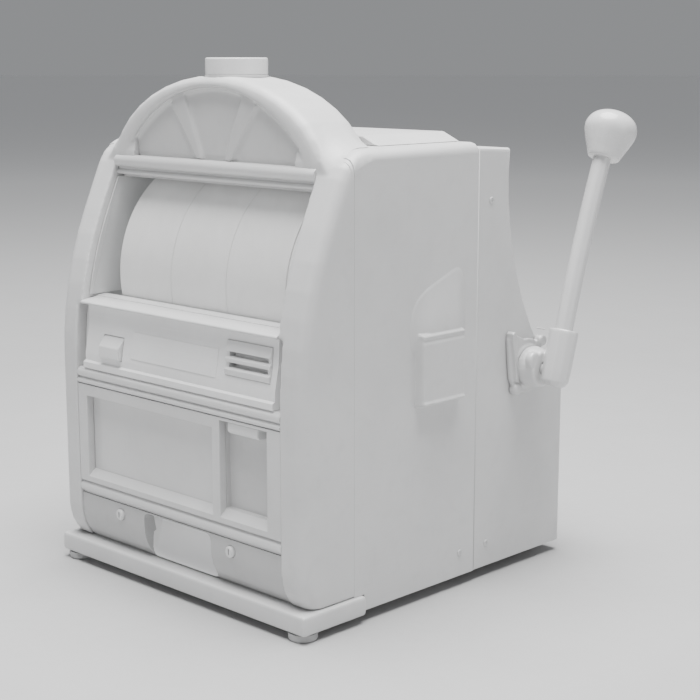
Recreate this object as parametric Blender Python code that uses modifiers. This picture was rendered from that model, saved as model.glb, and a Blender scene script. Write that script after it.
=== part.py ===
"""Counter-top slot machine with a round crown, three reels and a pull lever on its right side.

Machine coordinates: x = 0 is the mid-plane, y = 0 the front of the plinth and z = 0 close
to the cabinet's underside. The root empty shifts them so that the finished object stands on
z = 0, centred in plan.
"""
from math import acos, atan, cos, degrees, pi, radians, sin, sqrt, tan

import bmesh
import bpy
from mathutils import Matrix, Vector

# ---------------------------------------------------------------- driving dimensions, in metres
GAP = 0.0003                    # air between pieces that touch
PLINTH_HALF = 0.220
PLINTH_DEPTH = 0.0986
PLINTH_HEIGHT = 0.0212
PLINTH_UNDERSIDE = -0.0022
UNDERSIDE = 0.0022              # of the cabinet, rear shell and base plate
FOOT_HEIGHT = 0.009
FOOT_RADIUS = 0.0165

BODY_HALF = 0.2150              # half width of door and cabinet
DOOR_WALL = 0.008
SHEET = 0.006                   # cabinet walls
DOOR_BACK = 0.0825              # seam between door and cabinet
CABINET_BACK = 0.2880
BODY_TOP = 0.5150
REAR_HALF = 0.2135
REAR_TOP_FRONT = 0.5100
REAR_TOP_BACK = 0.5062
REAR_DEPTH = 0.4625
SCOOP_BOTTOM = (REAR_DEPTH, 0.2030)
SCOOP_MIDDLE = (0.3800, 0.3220)
SCOOP_TOP = (0.3500, REAR_TOP_BACK)

FRONT_Y = 0.0030                # upright part of the front face
TUCK_RADIUS = 0.060             # rounds in towards the plinth
TUCK_START = 0.0625
LEAN_START = 0.250              # above this height the front leans back on an arc
LEAN_END = 0.430                # and above this one on a straight line
LEAN_ANGLE = radians(23.75)
LEAN_RADIUS = (LEAN_END - LEAN_START) / sin(LEAN_ANGLE)
DOOR_ROUND = 0.013              # rounding of the door's outer edges
TOP_ROUND = 0.013               # top corners of the cabinet

OPEN_HALF = 0.1815              # opening in the door casting below the sill
WINDOW_HALF = 0.1740            # and above it
PANEL_HALF = 0.1690             # face of the button panel
SHOULDER_ROUND = 0.050          # corner between the leaning front and the flat top
OPEN_TOP = 0.4953

CROWN_FRONT = 0.066
CROWN_BACK = 0.146
CROWN_HALF = 0.1880
CROWN_RISE = 0.1196
CROWN_SPRING = 0.471
CROWN_ROUND = 0.012
RIM_DEPTH = 0.009
ARCH_RADIUS = 0.198             # inner arch around the sunburst
ARCH_CENTRE = 0.380

CANDLE_Y = 0.110
CANDLE_RADIUS = 0.0365
CANDLE_SEAT = 0.5875
CANDLE_TOP = 0.6103

REEL_RADIUS = 0.140
REEL_Y = 0.186
REEL_Z = 0.352
REEL_BANK = 0.290               # length of all three reels side by side
REEL_SPACE = 0.0015
REEL_WIDTH = (REEL_BANK - 2 * REEL_SPACE) / 3
SHAFT_RADIUS = 0.006

SILL_UNDERSIDE = 0.3175
WINDOW_FOOT = 0.3275            # foot of the pane and of the cheeks beside the reels
PANEL_BOTTOM = 0.2393
RAIL_UPPER = (0.2190, 0.2390)
RAIL_LOWER = (0.0800, 0.0964)
ACCEPTOR_X = (0.0870, 0.1600)
ACCEPTOR_Z = (0.2670, 0.3060)
SLITS = {"upper": 0.2910, "lower": 0.2790}
BUTTON_X = (-0.1360, -0.0980)
BUTTON_Z = (0.2560, 0.2830)
BELLY_X = (-0.1640, 0.0690)
BAY_X = (0.0817, 0.1595)
WINDOWS_FOOT = 0.1125
BELLY_TOP = 0.2050
BAY_TOP = 0.2155
FRAME_FRONT = 0.0040            # flat frame around belly window and bay
FRAME_BACK = 0.0138
BAY_BACK = 0.0205
MOUTH_X = (-0.0595, 0.0620)
MOUTH_Z = (0.0245, 0.0785)
LOCKS = {"door_lock": (-0.1036, 0.0665), "reset_lock": (0.0967, 0.0660)}
LOCK_Y = 0.0065

LEVER_X = 0.264
LEVER_Y = 0.380
LEVER_Z = 0.242
ROD_RADIUS = 0.0108
KNOB_RADIUS = 0.032

HINGE_X = -0.2175
HINGE_RADIUS = 0.0022

HOPPER_DISC = (0.0, 0.1300, 0.0620)
INLET_LOW = (-0.1650, 0.4300, 0.0400)
INLET_HIGH = (-0.0950, 0.4630, 0.0720)
INLET_SOCKET_LOW = (-0.1610, 0.4450, 0.0460)
INLET_SOCKET_HIGH = (-0.1320, 0.4700, 0.0660)
ROCKER = (-0.1130, 0.4600, 0.0560)

ROOT = (-(LEVER_X + KNOB_RADIUS - PLINTH_HALF) / 2, -0.2535, FOOT_HEIGHT - PLINTH_UNDERSIDE)

PARTS = None
CUTTERS = None
GROUPS = {}


# ---------------------------------------------------------------- scene and materials
def clear_scene():
    for item in list(bpy.data.objects):
        bpy.data.objects.remove(item, do_unlink=True)


def new_collection(name):
    collection = bpy.data.collections.new(name)
    bpy.context.scene.collection.children.link(collection)
    return collection


def material(name, grey, roughness, metallic=0.0, alpha=1.0):
    """A Principled BSDF; grey is a value for a neutral colour or an (r, g, b)."""
    rgb = grey if isinstance(grey, tuple) else (grey, grey, grey)
    made = bpy.data.materials.new(name)
    made.use_nodes = True
    shader = made.node_tree.nodes["Principled BSDF"]
    shader.inputs["Base Color"].default_value = (*rgb, 1.0)
    shader.inputs["Roughness"].default_value = roughness
    shader.inputs["Metallic"].default_value = metallic
    shader.inputs["Alpha"].default_value = alpha
    made.diffuse_color = (*rgb, alpha)
    return made


def group(name, position, parent=None):
    """An empty on a joint's axis; position is in machine coordinates."""
    empty = bpy.data.objects.new(name + "_axis", None)
    PARTS.objects.link(empty)
    empty.location = Vector(position)
    if parent:
        empty.parent = GROUPS[parent][0]
        empty.location -= GROUPS[parent][1]
    GROUPS[name] = (empty, Vector(position))


def ride(item, owner, paint=None, smooth=0.0):
    """Hang an object made in machine coordinates on its group and give it its material."""
    empty, position = GROUPS[owner]
    item.parent = empty
    if owner != "machine":
        item.matrix_parent_inverse = Matrix.Translation(-position)
    if paint:
        item.data.materials.clear()
        item.data.materials.append(paint)
        PARTS.objects.link(item)
    else:
        CUTTERS.objects.link(item)
        item.hide_render = True
        item.display_type = "WIRE"
    if smooth:
        item.data.shade_smooth()
        item.data.set_sharp_from_angle(angle=radians(smooth))
    return item


# ---------------------------------------------------------------- shape helpers
def arc(centre, radius, start, end, count):
    """Points on an arc from angle start to angle end, in degrees."""
    u, v = centre
    turns = [radians(start + (end - start) * i / (count - 1)) for i in range(count)]
    return [(u + radius * cos(a), v + radius * sin(a)) for a in turns]


def circle_through(a, b, c):
    """Centre and radius of the circle through three points."""
    d = 2 * (a[0] * (b[1] - c[1]) + b[0] * (c[1] - a[1]) + c[0] * (a[1] - b[1]))
    squares = [p[0] ** 2 + p[1] ** 2 for p in (a, b, c)]
    u = (squares[0] * (b[1] - c[1]) + squares[1] * (c[1] - a[1]) + squares[2] * (a[1] - b[1])) / d
    v = (squares[0] * (c[0] - b[0]) + squares[1] * (a[0] - c[0]) + squares[2] * (b[0] - a[0])) / d
    return (u, v), sqrt((a[0] - u) ** 2 + (a[1] - v) ** 2)


def rounded_rect(u0, u1, v0, v1, radius, count=4):
    """Outline of a rectangle with four round corners."""
    corners = [((u1 - radius, v1 - radius), 0), ((u0 + radius, v1 - radius), 90),
               ((u0 + radius, v0 + radius), 180), ((u1 - radius, v0 + radius), 270)]
    return [p for centre, turn in corners for p in arc(centre, radius, turn, turn + 90, count)]


def front_y(z):
    """Depth of the door's front face at height z."""
    if z < TUCK_START:
        return FRONT_Y + TUCK_RADIUS - sqrt(TUCK_RADIUS ** 2 - (TUCK_START - z) ** 2)
    if z < LEAN_START:
        return FRONT_Y
    if z < LEAN_END:
        return FRONT_Y + LEAN_RADIUS - sqrt(LEAN_RADIUS ** 2 - (z - LEAN_START) ** 2)
    return FRONT_Y + LEAN_RADIUS * (1 - cos(LEAN_ANGLE)) + (z - LEAN_END) * tan(LEAN_ANGLE)


def welded(data, name):
    """A mesh object from evaluated curve data, with its caps welded and flat faces whole."""
    holder = bpy.data.objects.new(name + "_curve", data)
    bpy.context.scene.collection.objects.link(holder)
    bpy.context.view_layer.update()
    shape = bpy.data.meshes.new_from_object(holder.evaluated_get(bpy.context.evaluated_depsgraph_get()))
    bpy.data.objects.remove(holder, do_unlink=True)
    shape.name = name
    mesh = bmesh.new()
    mesh.from_mesh(shape)
    bmesh.ops.remove_doubles(mesh, verts=mesh.verts, dist=0.00001)
    bmesh.ops.dissolve_limit(mesh, angle_limit=radians(0.5), verts=mesh.verts, edges=mesh.edges)
    bmesh.ops.recalc_face_normals(mesh, faces=mesh.faces)
    mesh.to_mesh(shape)
    mesh.free()
    return bpy.data.objects.new(name, shape)


def prism(name, loops, axis, start, end):
    """Extrude closed outlines: (y, z) points along X, (x, z) points along Y, (x, y) along Z."""
    data = bpy.data.curves.new(name, "CURVE")
    data.dimensions = "2D"
    data.fill_mode = "BOTH"
    data.extrude = (end - start) / 2
    for loop in loops:
        spline = data.splines.new("POLY")
        spline.points.add(len(loop) - 1)
        for point, (u, v) in zip(spline.points, loop):
            point.co = (u, v, 0, 1)
        spline.use_cyclic_u = True
    item = welded(data, name)
    middle = (start + end) / 2
    if axis == "X":
        item.location = (middle, 0, 0)
        item.rotation_euler = (pi / 2, 0, pi / 2)
    elif axis == "Y":
        item.location = (0, middle, 0)
        item.rotation_euler = (pi / 2, 0, 0)
    else:
        item.location = (0, 0, middle)
    return item


def block(name, low, high):
    """A box between two corners."""
    mesh = bmesh.new()
    bmesh.ops.create_cube(mesh, size=1.0)
    size = [b - a for a, b in zip(low, high)]
    bmesh.ops.scale(mesh, vec=size, verts=mesh.verts)
    data = bpy.data.meshes.new(name)
    mesh.to_mesh(data)
    mesh.free()
    item = bpy.data.objects.new(name, data)
    item.location = [(a + b) / 2 for a, b in zip(low, high)]
    return item


def turned(name, profile, position, direction="Z", steps=24, ring=False, tilt=0.0):
    """Spin a (radius, height) profile that runs down its outer side about Z, X or Y."""
    mesh = bmesh.new()
    points = [mesh.verts.new((radius, 0, height)) for radius, height in profile]
    for first, second in zip(points, points[1:]):
        mesh.edges.new((first, second))
    if ring:
        mesh.edges.new((points[-1], points[0]))
    data = bpy.data.meshes.new(name)
    mesh.to_mesh(data)
    mesh.free()
    item = bpy.data.objects.new(name, data)
    spin = item.modifiers.new("spin", "SCREW")
    spin.steps = steps
    spin.render_steps = steps
    spin.use_merge_vertices = True
    spin.merge_threshold = 0.00001
    item.location = position
    if direction == "X":
        item.rotation_euler = (0, pi / 2, 0)
    elif direction == "Y":
        item.rotation_euler = (pi / 2, 0, 0)
    elif tilt:
        item.rotation_euler = (-tilt, 0, 0)
    return item


def tube(name, points, radius, sides=2):
    """A round bar along a list of points, with flat ends."""
    data = bpy.data.curves.new(name, "CURVE")
    data.dimensions = "3D"
    data.bevel_depth = radius
    data.bevel_resolution = sides
    data.use_fill_caps = True
    spline = data.splines.new("POLY")
    spline.points.add(len(points) - 1)
    for point, place in zip(spline.points, points):
        point.co = (*place, 1)
    return welded(data, name)


def bevel(item, width, segments=2, angle=40):
    """Round every edge that turns by more than the angle."""
    edge = item.modifiers.new("round", "BEVEL")
    edge.width = width
    edge.segments = segments
    edge.limit_method = "ANGLE"
    edge.angle_limit = radians(angle)
    edge.miter_outer = "MITER_ARC"
    return item


def round_edges(item, width, segments, keep):
    """Round the edges of the mesh for which keep(first, second) is true."""
    mesh = bmesh.new()
    mesh.from_mesh(item.data)
    edges = [e for e in mesh.edges if keep(e.verts[0].co, e.verts[1].co)]
    bmesh.ops.bevel(mesh, geom=edges, offset=width, segments=segments, profile=0.5, affect="EDGES")
    mesh.to_mesh(item.data)
    mesh.free()
    return item


def cut(item, cutter, owner, operation="DIFFERENCE"):
    """Cut a piece with another shape, or join it to it."""
    ride(cutter, owner)
    step = item.modifiers.new(cutter.name, "BOOLEAN")
    step.operation = operation
    step.object = cutter
    step.solver = "EXACT"
    return item


# ---------------------------------------------------------------- base
def make_plinth(paint):
    item = block("plinth", (-PLINTH_HALF, 0, PLINTH_UNDERSIDE), (PLINTH_HALF, PLINTH_DEPTH, PLINTH_HEIGHT))
    bevel(item, 0.0045, 2)
    ride(item, "machine", paint)


def make_feet(rubber):
    """Two feet under the front plinth and two taller ones under the base plate."""
    floor = PLINTH_UNDERSIDE - FOOT_HEIGHT
    places = {"front_left": (-0.201, 0.0170, PLINTH_UNDERSIDE),
              "front_right": (0.201, 0.0170, PLINTH_UNDERSIDE),
              "rear_left": (-0.165, 0.425, UNDERSIDE), "rear_right": (0.165, 0.425, UNDERSIDE)}
    for name, (x, y, top) in places.items():
        profile = [(0, top - GAP), (FOOT_RADIUS, top - GAP), (FOOT_RADIUS, floor + 0.002),
                   (FOOT_RADIUS - 0.0015, floor), (0, floor)]
        ride(turned("foot_" + name, profile, (x, y, 0), steps=20), "machine", rubber, 40)


def make_base_plate(metal):
    low = (-REAR_HALF + SHEET + GAP, PLINTH_DEPTH + GAP, UNDERSIDE)
    high = (REAR_HALF - SHEET - GAP, REAR_DEPTH - SHEET - GAP, 0.008)
    ride(block("base_plate", low, high), "machine", metal)


# ---------------------------------------------------------------- cabinet
def shoulder_arc(inset, first_y):
    """Side view of the rounding between leaning front and flat top, from depth first_y to the top."""
    turn = pi / 2 - LEAN_ANGLE
    reach = SHOULDER_ROUND * tan(turn / 2)
    start = (front_y(BODY_TOP) - reach * sin(LEAN_ANGLE), BODY_TOP - reach * cos(LEAN_ANGLE))
    centre = (start[0] + SHOULDER_ROUND * cos(LEAN_ANGLE), start[1] - SHOULDER_ROUND * sin(LEAN_ANGLE))
    radius = SHOULDER_ROUND - inset
    return arc(centre, radius, degrees(acos((first_y - centre[0]) / radius)), 90, 5)


def make_cabinet_shell(paint):
    """Sides and top of sheet that carry on the door's rounded shoulder, notched over the plinth."""
    half = BODY_HALF
    front = DOOR_BACK + GAP
    outline = shoulder_arc(0, front) + [(CABINET_BACK, BODY_TOP), (CABINET_BACK, UNDERSIDE), (front, UNDERSIDE)]
    item = prism("cabinet_shell", [outline], "X", -half, half)

    def top_edge(a, b):
        on_side = abs(abs(a.z) - half) < 0.0001 and abs(a.z - b.z) < 0.0001
        return on_side and min(a.y, b.y) > UNDERSIDE + 0.1
    round_edges(item, TOP_ROUND, 3, top_edge)
    inner = half - SHEET
    outline = shoulder_arc(SHEET, front - 0.01) + [(CABINET_BACK + 0.01, BODY_TOP - SHEET),
                                                   (CABINET_BACK + 0.01, -0.05), (front - 0.01, -0.05)]
    cut(item, prism("cabinet_hollow", [outline], "X", -inner, inner), "machine")
    notch = block("plinth_notch", (-0.3, 0.05, -0.05), (0.3, PLINTH_DEPTH + GAP, PLINTH_HEIGHT + GAP))
    cut(item, notch, "machine")
    ride(item, "machine", paint, 30)


def rear_outline(inset, front, bottom):
    """Side outline of the rear shell, moved inwards by inset."""
    centre, radius = circle_through(SCOOP_BOTTOM, SCOOP_MIDDLE, SCOOP_TOP)
    radius += inset
    back = REAR_DEPTH - inset
    low = centre[1] - sqrt(radius ** 2 - (centre[0] - back) ** 2)
    slope = (REAR_TOP_BACK - REAR_TOP_FRONT) / (SCOOP_TOP[0] - CABINET_BACK)
    top = REAR_TOP_BACK - inset
    reach = centre[0] - sqrt(radius ** 2 - (top - centre[1]) ** 2)
    count = 10
    scoop = []
    for i in range(count + 1):
        z = low + (top - low) * i / count
        scoop.append((centre[0] - sqrt(radius ** 2 - (z - centre[1]) ** 2), z))
    return [(front, bottom), (back, bottom)] + scoop + [(front, top + slope * (front - reach))]


def make_rear_shell(paint):
    half = REAR_HALF
    item = prism("rear_shell", [rear_outline(0, CABINET_BACK + GAP, UNDERSIDE)], "X", -half, half)
    front = CABINET_BACK + 0.001

    def outer_edge(a, b):
        on_side = abs(abs(a.z) - half) < 0.0001 and abs(a.z - b.z) < 0.0001
        return on_side and max(a.x, b.x) > front and max(a.y, b.y) > UNDERSIDE + 0.001
    round_edges(item, 0.006, 2, outer_edge)
    hollow = prism("rear_hollow", [rear_outline(SHEET, CABINET_BACK - 0.05, -0.05)], "X",
                   SHEET - half, half - SHEET)
    cut(item, hollow, "machine")
    bore = turned("lever_bore", [(0, 0.03), (0.0143, 0.03), (0.0143, -0.03), (0, -0.03)],
                  (half, LEVER_Y, LEVER_Z), "X", 24)
    cut(item, bore, "machine")
    low, high = INLET_LOW, INLET_HIGH
    window = block("inlet_window", (low[0] - GAP, REAR_DEPTH - 0.02, low[2] - GAP),
                   (high[0] + GAP, REAR_DEPTH + 0.02, high[2] + GAP))
    cut(item, window, "machine")
    ride(item, "machine", paint, 30)


def make_top_lid(paint):
    """Raised lid with sloping sides behind the crown."""
    outline = [(0.188, BODY_TOP + GAP), (0.163, 0.5262), (-0.163, 0.5262), (-0.188, BODY_TOP + GAP)]
    item = prism("top_lid", [outline], "Y", CROWN_BACK + 0.003, CABINET_BACK - 0.002)
    bevel(item, 0.0015, 1, 20)
    ride(item, "machine", paint)


def make_side_box(paint):
    """Raised cover on the right side, tapered at its foot."""
    wall = BODY_HALF + GAP
    outline = [(wall, 0.2205), (wall + 0.010, 0.2260), (wall + 0.012, 0.2290), (wall + 0.012, 0.3040),
               (wall + 0.0035, 0.3120), (wall, 0.3400)]
    item = prism("side_box", [outline], "Y", 0.1820, 0.2560)
    bevel(item, 0.003, 2, 30)
    ride(item, "machine", paint)


def make_window_liners(paint):
    """Flat cheeks beside the reels, inside the door."""
    low, high = WINDOW_FOOT, 0.4680
    behind = DOOR_WALL + 0.0015
    count = 6
    heights = [low + (high - low) * i / count for i in range(count + 1)]
    outline = [(front_y(z) + behind, z) for z in heights] + [(0.175, high), (0.175, low)]
    for name, side in (("left", -1), ("right", 1)):
        edges = sorted((side * 0.1712, side * 0.1732))
        ride(prism("window_liner_" + name, [outline], "X", *edges), "machine", paint)


def make_door_hinge(metal):
    profile = [(0, 0.430), (HINGE_RADIUS, 0.430), (HINGE_RADIUS, 0), (0, 0)]
    ride(turned("door_hinge", profile, (HINGE_X, DOOR_BACK, 0.050), steps=12), "machine", metal, 40)


# ---------------------------------------------------------------- door
def door_outline(inset, back, bottom, top):
    """Side outline of the door, moved inwards by inset."""
    heights = [bottom, 0.030, 0.040, 0.051, TUCK_START, LEAN_START]
    steps = 6
    heights += [LEAN_START + (LEAN_END - LEAN_START) * i / steps for i in range(1, steps + 1)]
    front = [(front_y(max(z, 0.0205)) + inset, z) for z in heights]
    corner = SHOULDER_ROUND - inset
    turn = pi / 2 - LEAN_ANGLE
    reach = corner * tan(turn / 2)
    start = (front_y(top) + inset - reach * sin(LEAN_ANGLE), top - reach * cos(LEAN_ANGLE))
    centre = (start[0] + corner * cos(LEAN_ANGLE), start[1] - corner * sin(LEAN_ANGLE))
    shoulder = arc(centre, corner, 180 - degrees(LEAN_ANGLE), 90, 5)
    return front + shoulder + [(back, top), (back, bottom)]


def crown_outline(inset, bottom):
    """Half-ellipse of the crown above the given height."""
    half = CROWN_HALF - inset
    rise = CROWN_RISE - inset
    first = (bottom - CROWN_SPRING) / rise
    start = atan(first / sqrt(1 - first ** 2))
    count = 18
    turns = [start + (pi - 2 * start) * i / count for i in range(count + 1)]
    return [(half * cos(a), CROWN_SPRING + rise * sin(a)) for a in turns]


def arch_outline(margin, bottom):
    """Round-topped opening around the sunburst."""
    radius = ARCH_RADIUS + margin
    half = sqrt(radius ** 2 - (bottom - ARCH_CENTRE) ** 2)
    start = atan((bottom - ARCH_CENTRE) / half)
    count = 14
    turns = [start + (pi - 2 * start) * i / count for i in range(count + 1)]
    return [(radius * cos(a), ARCH_CENTRE + radius * sin(a)) for a in turns]


def make_front_casting(paint):
    """One casting: two cheeks, the crown above them and the hollow behind."""
    half = BODY_HALF
    bottom = PLINTH_HEIGHT + 0.0005
    item = prism("front_casting", [door_outline(0, 0.13, bottom, BODY_TOP)], "X", -half, half)

    def outer_edge(a, b):
        on_side = abs(abs(a.z) - half) < 0.0001 and abs(a.z - b.z) < 0.0001
        return on_side and min(a.x, b.x) < 0.129 and max(a.y, b.y) > bottom + 0.001
    round_edges(item, DOOR_ROUND, 4, outer_edge)

    crown = prism("crown", [crown_outline(0, 0.490)], "Y", CROWN_FRONT, CROWN_BACK)
    depth = (CROWN_BACK - CROWN_FRONT) / 2

    def rim_edge(a, b):
        on_face = abs(abs(a.z) - depth) < 0.0001 and abs(a.z - b.z) < 0.0001
        return on_face and max(a.y, b.y) > 0.4901
    round_edges(crown, CROWN_ROUND, 3, rim_edge)
    cut(item, crown, "front_door", "UNION")

    clear = 2 * GAP
    behind = shoulder_arc(-clear, DOOR_BACK) + [(0.3, BODY_TOP + clear), (0.3, -0.1), (DOOR_BACK, -0.1)]
    cut(item, prism("over_cabinet", [behind], "X", -0.3, 0.3), "front_door")
    inner = half - DOOR_WALL
    hollow = prism("door_hollow", [door_outline(DOOR_WALL, 0.13, -0.02, BODY_TOP - DOOR_WALL)], "X",
                   -inner, inner)
    cut(item, hollow, "front_door")
    lamp_space = prism("crown_hollow", [crown_outline(DOOR_WALL, 0.486)], "Y",
                       CROWN_FRONT + RIM_DEPTH, CROWN_BACK - 0.007)
    cut(item, lamp_space, "front_door")
    arch = prism("arch_opening", [arch_outline(0, 0.4900)], "Y", -0.05, CROWN_FRONT + RIM_DEPTH + 0.002)
    cut(item, arch, "front_door")
    openings = {"lower_opening": (OPEN_HALF, SILL_UNDERSIDE), "window_opening": (WINDOW_HALF, OPEN_TOP)}
    for name, (reach, top) in openings.items():
        cut(item, block(name, (-reach, -0.05, -0.05), (reach, 0.0770, top)), "front_door")
    seat = turned("candle_seat", [(0, 0.05), (CANDLE_RADIUS + 0.001, 0.05), (CANDLE_RADIUS + 0.001, 0), (0, 0)],
                  (0, CANDLE_Y, CANDLE_SEAT), steps=32)
    cut(item, seat, "front_door")
    ride(item, "front_door", paint, 35)


def make_sunburst(paint):
    """Arched panel behind the rim, with two raised rays framing the middle wedge."""
    low = OPEN_TOP + GAP
    back = CROWN_FRONT + RIM_DEPTH + GAP
    item = prism("sunburst_panel", [arch_outline(0.003, low)], "Y", back, back + 0.003)
    for name, side in (("left", -1), ("right", 1)):
        ray = [(side * 0.0235, low + 0.0005), (side * 0.0290, low + 0.0005),
               (side * 0.0640, 0.5640), (side * 0.0570, 0.5665)]
        cut(item, prism("ray_" + name, [ray], "Y", back - 0.0035, back + 0.001), "front_door", "UNION")
    ride(item, "front_door", paint)


def half_round(y, z, radius, back, count=7):
    """Outline of a bead: a half circle on a flat back."""
    return arc((y, z), radius, 270, 90, count) + [(back, z + radius), (back, z - radius)]


def make_bars(metal):
    """Two cross bars at the spring of the crown."""
    reach = WINDOW_HALF - GAP
    thick = half_round(0.0695, 0.4873, 0.0075, 0.0755)
    ride(prism("arch_bar", [thick], "X", -reach, reach), "front_door", metal, 40)
    thin = half_round(0.0700, 0.4740, 0.0032, 0.0755, 5)
    ride(prism("window_bar", [thin], "X", -reach, reach), "front_door", metal, 40)


def make_reel_glass(glass):
    """Clear pane leaning with the front, between the sill and the thin bar."""
    foot = (0.0215, WINDOW_FOOT + 0.0005)
    head = (0.0655, 0.4695)
    length = sqrt((head[0] - foot[0]) ** 2 + (head[1] - foot[1]) ** 2)
    lean = ((head[0] - foot[0]) / length, (head[1] - foot[1]) / length)
    thick = (lean[1] * 0.0025, -lean[0] * 0.0025)
    outline = [foot, head, (head[0] + thick[0], head[1] + thick[1]), (foot[0] + thick[0], foot[1] + thick[1])]
    ride(prism("reel_glass", [outline], "X", -0.1705, 0.1705), "front_door", glass)


def make_sill(metal):
    """Sloping ledge under the reels that overhangs the button panel."""
    low = SILL_UNDERSIDE
    outline = [(0.0076, low), (0.0062, low + 0.0012), (0.0064, low + 0.0026), (0.0085, low + 0.0040),
               (0.0420, low + 0.0090), (0.0420, low + 0.0050), (0.0150, low)]
    reach = WINDOW_HALF - GAP
    ride(prism("sill", [outline], "X", -reach, reach), "front_door", metal)


def make_button_panel(paint):
    """Panel with a ledge at its foot and a gently scooped face, on a wider back strip."""
    low, high = PANEL_BOTTOM + GAP, SILL_UNDERSIDE - GAP
    face = [(0.0052, low), (0.0045, low + 0.0010), (0.0045, 0.2470), (0.0080, 0.2490), (0.0083, 0.2580),
            (0.0105, 0.2700), (0.0135, 0.2850), (0.0150, 0.3000), (0.0155, high)]
    item = prism("button_panel", [face + [(0.0360, high), (0.0360, low)]], "X", -PANEL_HALF, PANEL_HALF)
    strip = [(front_y(z) + 0.0150, z) for z in (low, 0.2700, 0.2950, high)] + [(0.0340, high), (0.0340, low)]
    reach = OPEN_HALF - GAP
    cut(item, prism("end_strips", [strip], "X", -reach, reach), "front_door", "UNION")
    well = block("button_well", (BUTTON_X[0] - 0.0008, -0.02, BUTTON_Z[0] - 0.0008),
                 (BUTTON_X[1] + 0.0008, 0.060, BUTTON_Z[1] + 0.0008))
    cut(item, well, "front_door")
    pocket = block("acceptor_pocket", (ACCEPTOR_X[0] - GAP, -0.02, ACCEPTOR_Z[0] - GAP),
                   (ACCEPTOR_X[1] + GAP, 0.06, ACCEPTOR_Z[1] + GAP))
    cut(item, pocket, "front_door")
    ride(item, "front_door", paint, 30)


def make_spin_button(plastic):
    """Push button with a sloping top that travels into its well."""
    low, high = BUTTON_Z
    outline = [(0.0050, low + 0.0010), (0.0040, low + 0.0025), (0.0045, high - 0.0110), (0.0095, high),
               (0.0260, high), (0.0260, low)]
    item = prism("spin_button", [outline], "X", *BUTTON_X)
    bevel(item, 0.0010, 1, 30)
    ride(item, "spin_button", plastic)


def make_coin_acceptor(plastic):
    """Bezel block with two slits, each under a sloping lip."""
    x0, x1 = ACCEPTOR_X
    z0, z1 = ACCEPTOR_Z
    upper, lower = SLITS["upper"], SLITS["lower"]
    outline = [(0.0100, z0), (0.0085, z0 + 0.0020), (0.0078, lower - 0.0050), (0.0110, lower - 0.0026),
               (0.0110, lower + 0.0026), (0.0092, lower + 0.0034), (0.0092, upper - 0.0048),
               (0.0125, upper - 0.0026), (0.0125, upper + 0.0026), (0.0105, upper + 0.0034),
               (0.0135, z1), (0.0400, z1), (0.0400, z0)]
    item = prism("coin_acceptor", [outline], "X", x0, x1)
    for name, z in SLITS.items():
        slit = block(name + "_slit", (x0 + 0.0050, -0.02, z - 0.0026), (x1 - 0.0050, 0.0370, z + 0.0026))
        cut(item, slit, "front_door")
    ride(item, "front_door", plastic)


def make_rail(name, low, high, beads, metal):
    """Cross moulding between two heights, with round beads given as (height, radius)."""
    back = 0.0190
    hollow = FRAME_FRONT + 0.0035
    outline = [(hollow, low)]
    for z, radius in beads:
        outline += arc((FRONT_Y + radius, z), radius, 250, 110, 6)
    outline += [(hollow, high), (back, high), (back, low)]
    reach = OPEN_HALF - GAP
    ride(prism(name, [outline], "X", -reach, reach), "front_door", metal, 35)


def make_belly_frame(paint):
    """Flat frame with a wide window on the left and a narrow bay on the right."""
    reach = OPEN_HALF - GAP
    low, high = RAIL_LOWER[1] + GAP, RAIL_UPPER[0] - GAP
    item = block("belly_frame", (-reach, FRAME_FRONT, low), (reach, FRAME_BACK, high))
    for name, (x0, x1), top in (("belly", BELLY_X, BELLY_TOP), ("bay", BAY_X, BAY_TOP)):
        outline = [(FRAME_FRONT - 0.01, WINDOWS_FOOT - 0.0105), (FRAME_FRONT, WINDOWS_FOOT - 0.0090),
                   (FRAME_BACK, WINDOWS_FOOT), (FRAME_BACK + 0.01, WINDOWS_FOOT), (FRAME_BACK + 0.01, top),
                   (FRAME_FRONT - 0.01, top)]
        cut(item, prism(name + "_window", [outline], "X", x0, x1), "front_door")
    ride(item, "front_door", paint)


def make_belly_panels(glass, paint):
    """Pane behind the wide window, and a shallow tray behind the bay."""
    margin = 0.0030
    front = FRAME_BACK + GAP
    low = (BELLY_X[0] - margin, front, WINDOWS_FOOT - margin)
    high = (BELLY_X[1] + margin, front + 0.0030, BELLY_TOP + margin)
    ride(block("belly_glass", low, high), "front_door", glass)
    low = (BAY_X[0] - margin, front, WINDOWS_FOOT - margin)
    high = (BAY_X[1] + margin, BAY_BACK + 0.0030, BAY_TOP + margin - 0.0006)
    item = block("bay_panel", low, high)
    cut(item, block("bay_pocket", (BAY_X[0], 0, WINDOWS_FOOT), (BAY_X[1], BAY_BACK, BAY_TOP)), "front_door")
    ride(item, "front_door", paint)


def make_bay_hood(plastic):
    """Small hood at the top of the narrow bay with its mouth facing down."""
    x0, x1 = BAY_X
    top = BAY_TOP - GAP
    back = BAY_BACK - GAP
    outline = [(0.0060, top), (0.0055, top - 0.0100), (0.0090, top - 0.0135), (back, top - 0.0135), (back, top)]
    item = prism("bay_hood", [outline], "X", x0 + 0.0118, x1 - 0.0160)
    bevel(item, 0.0012, 1, 40)
    ride(item, "front_door", plastic)


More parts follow.
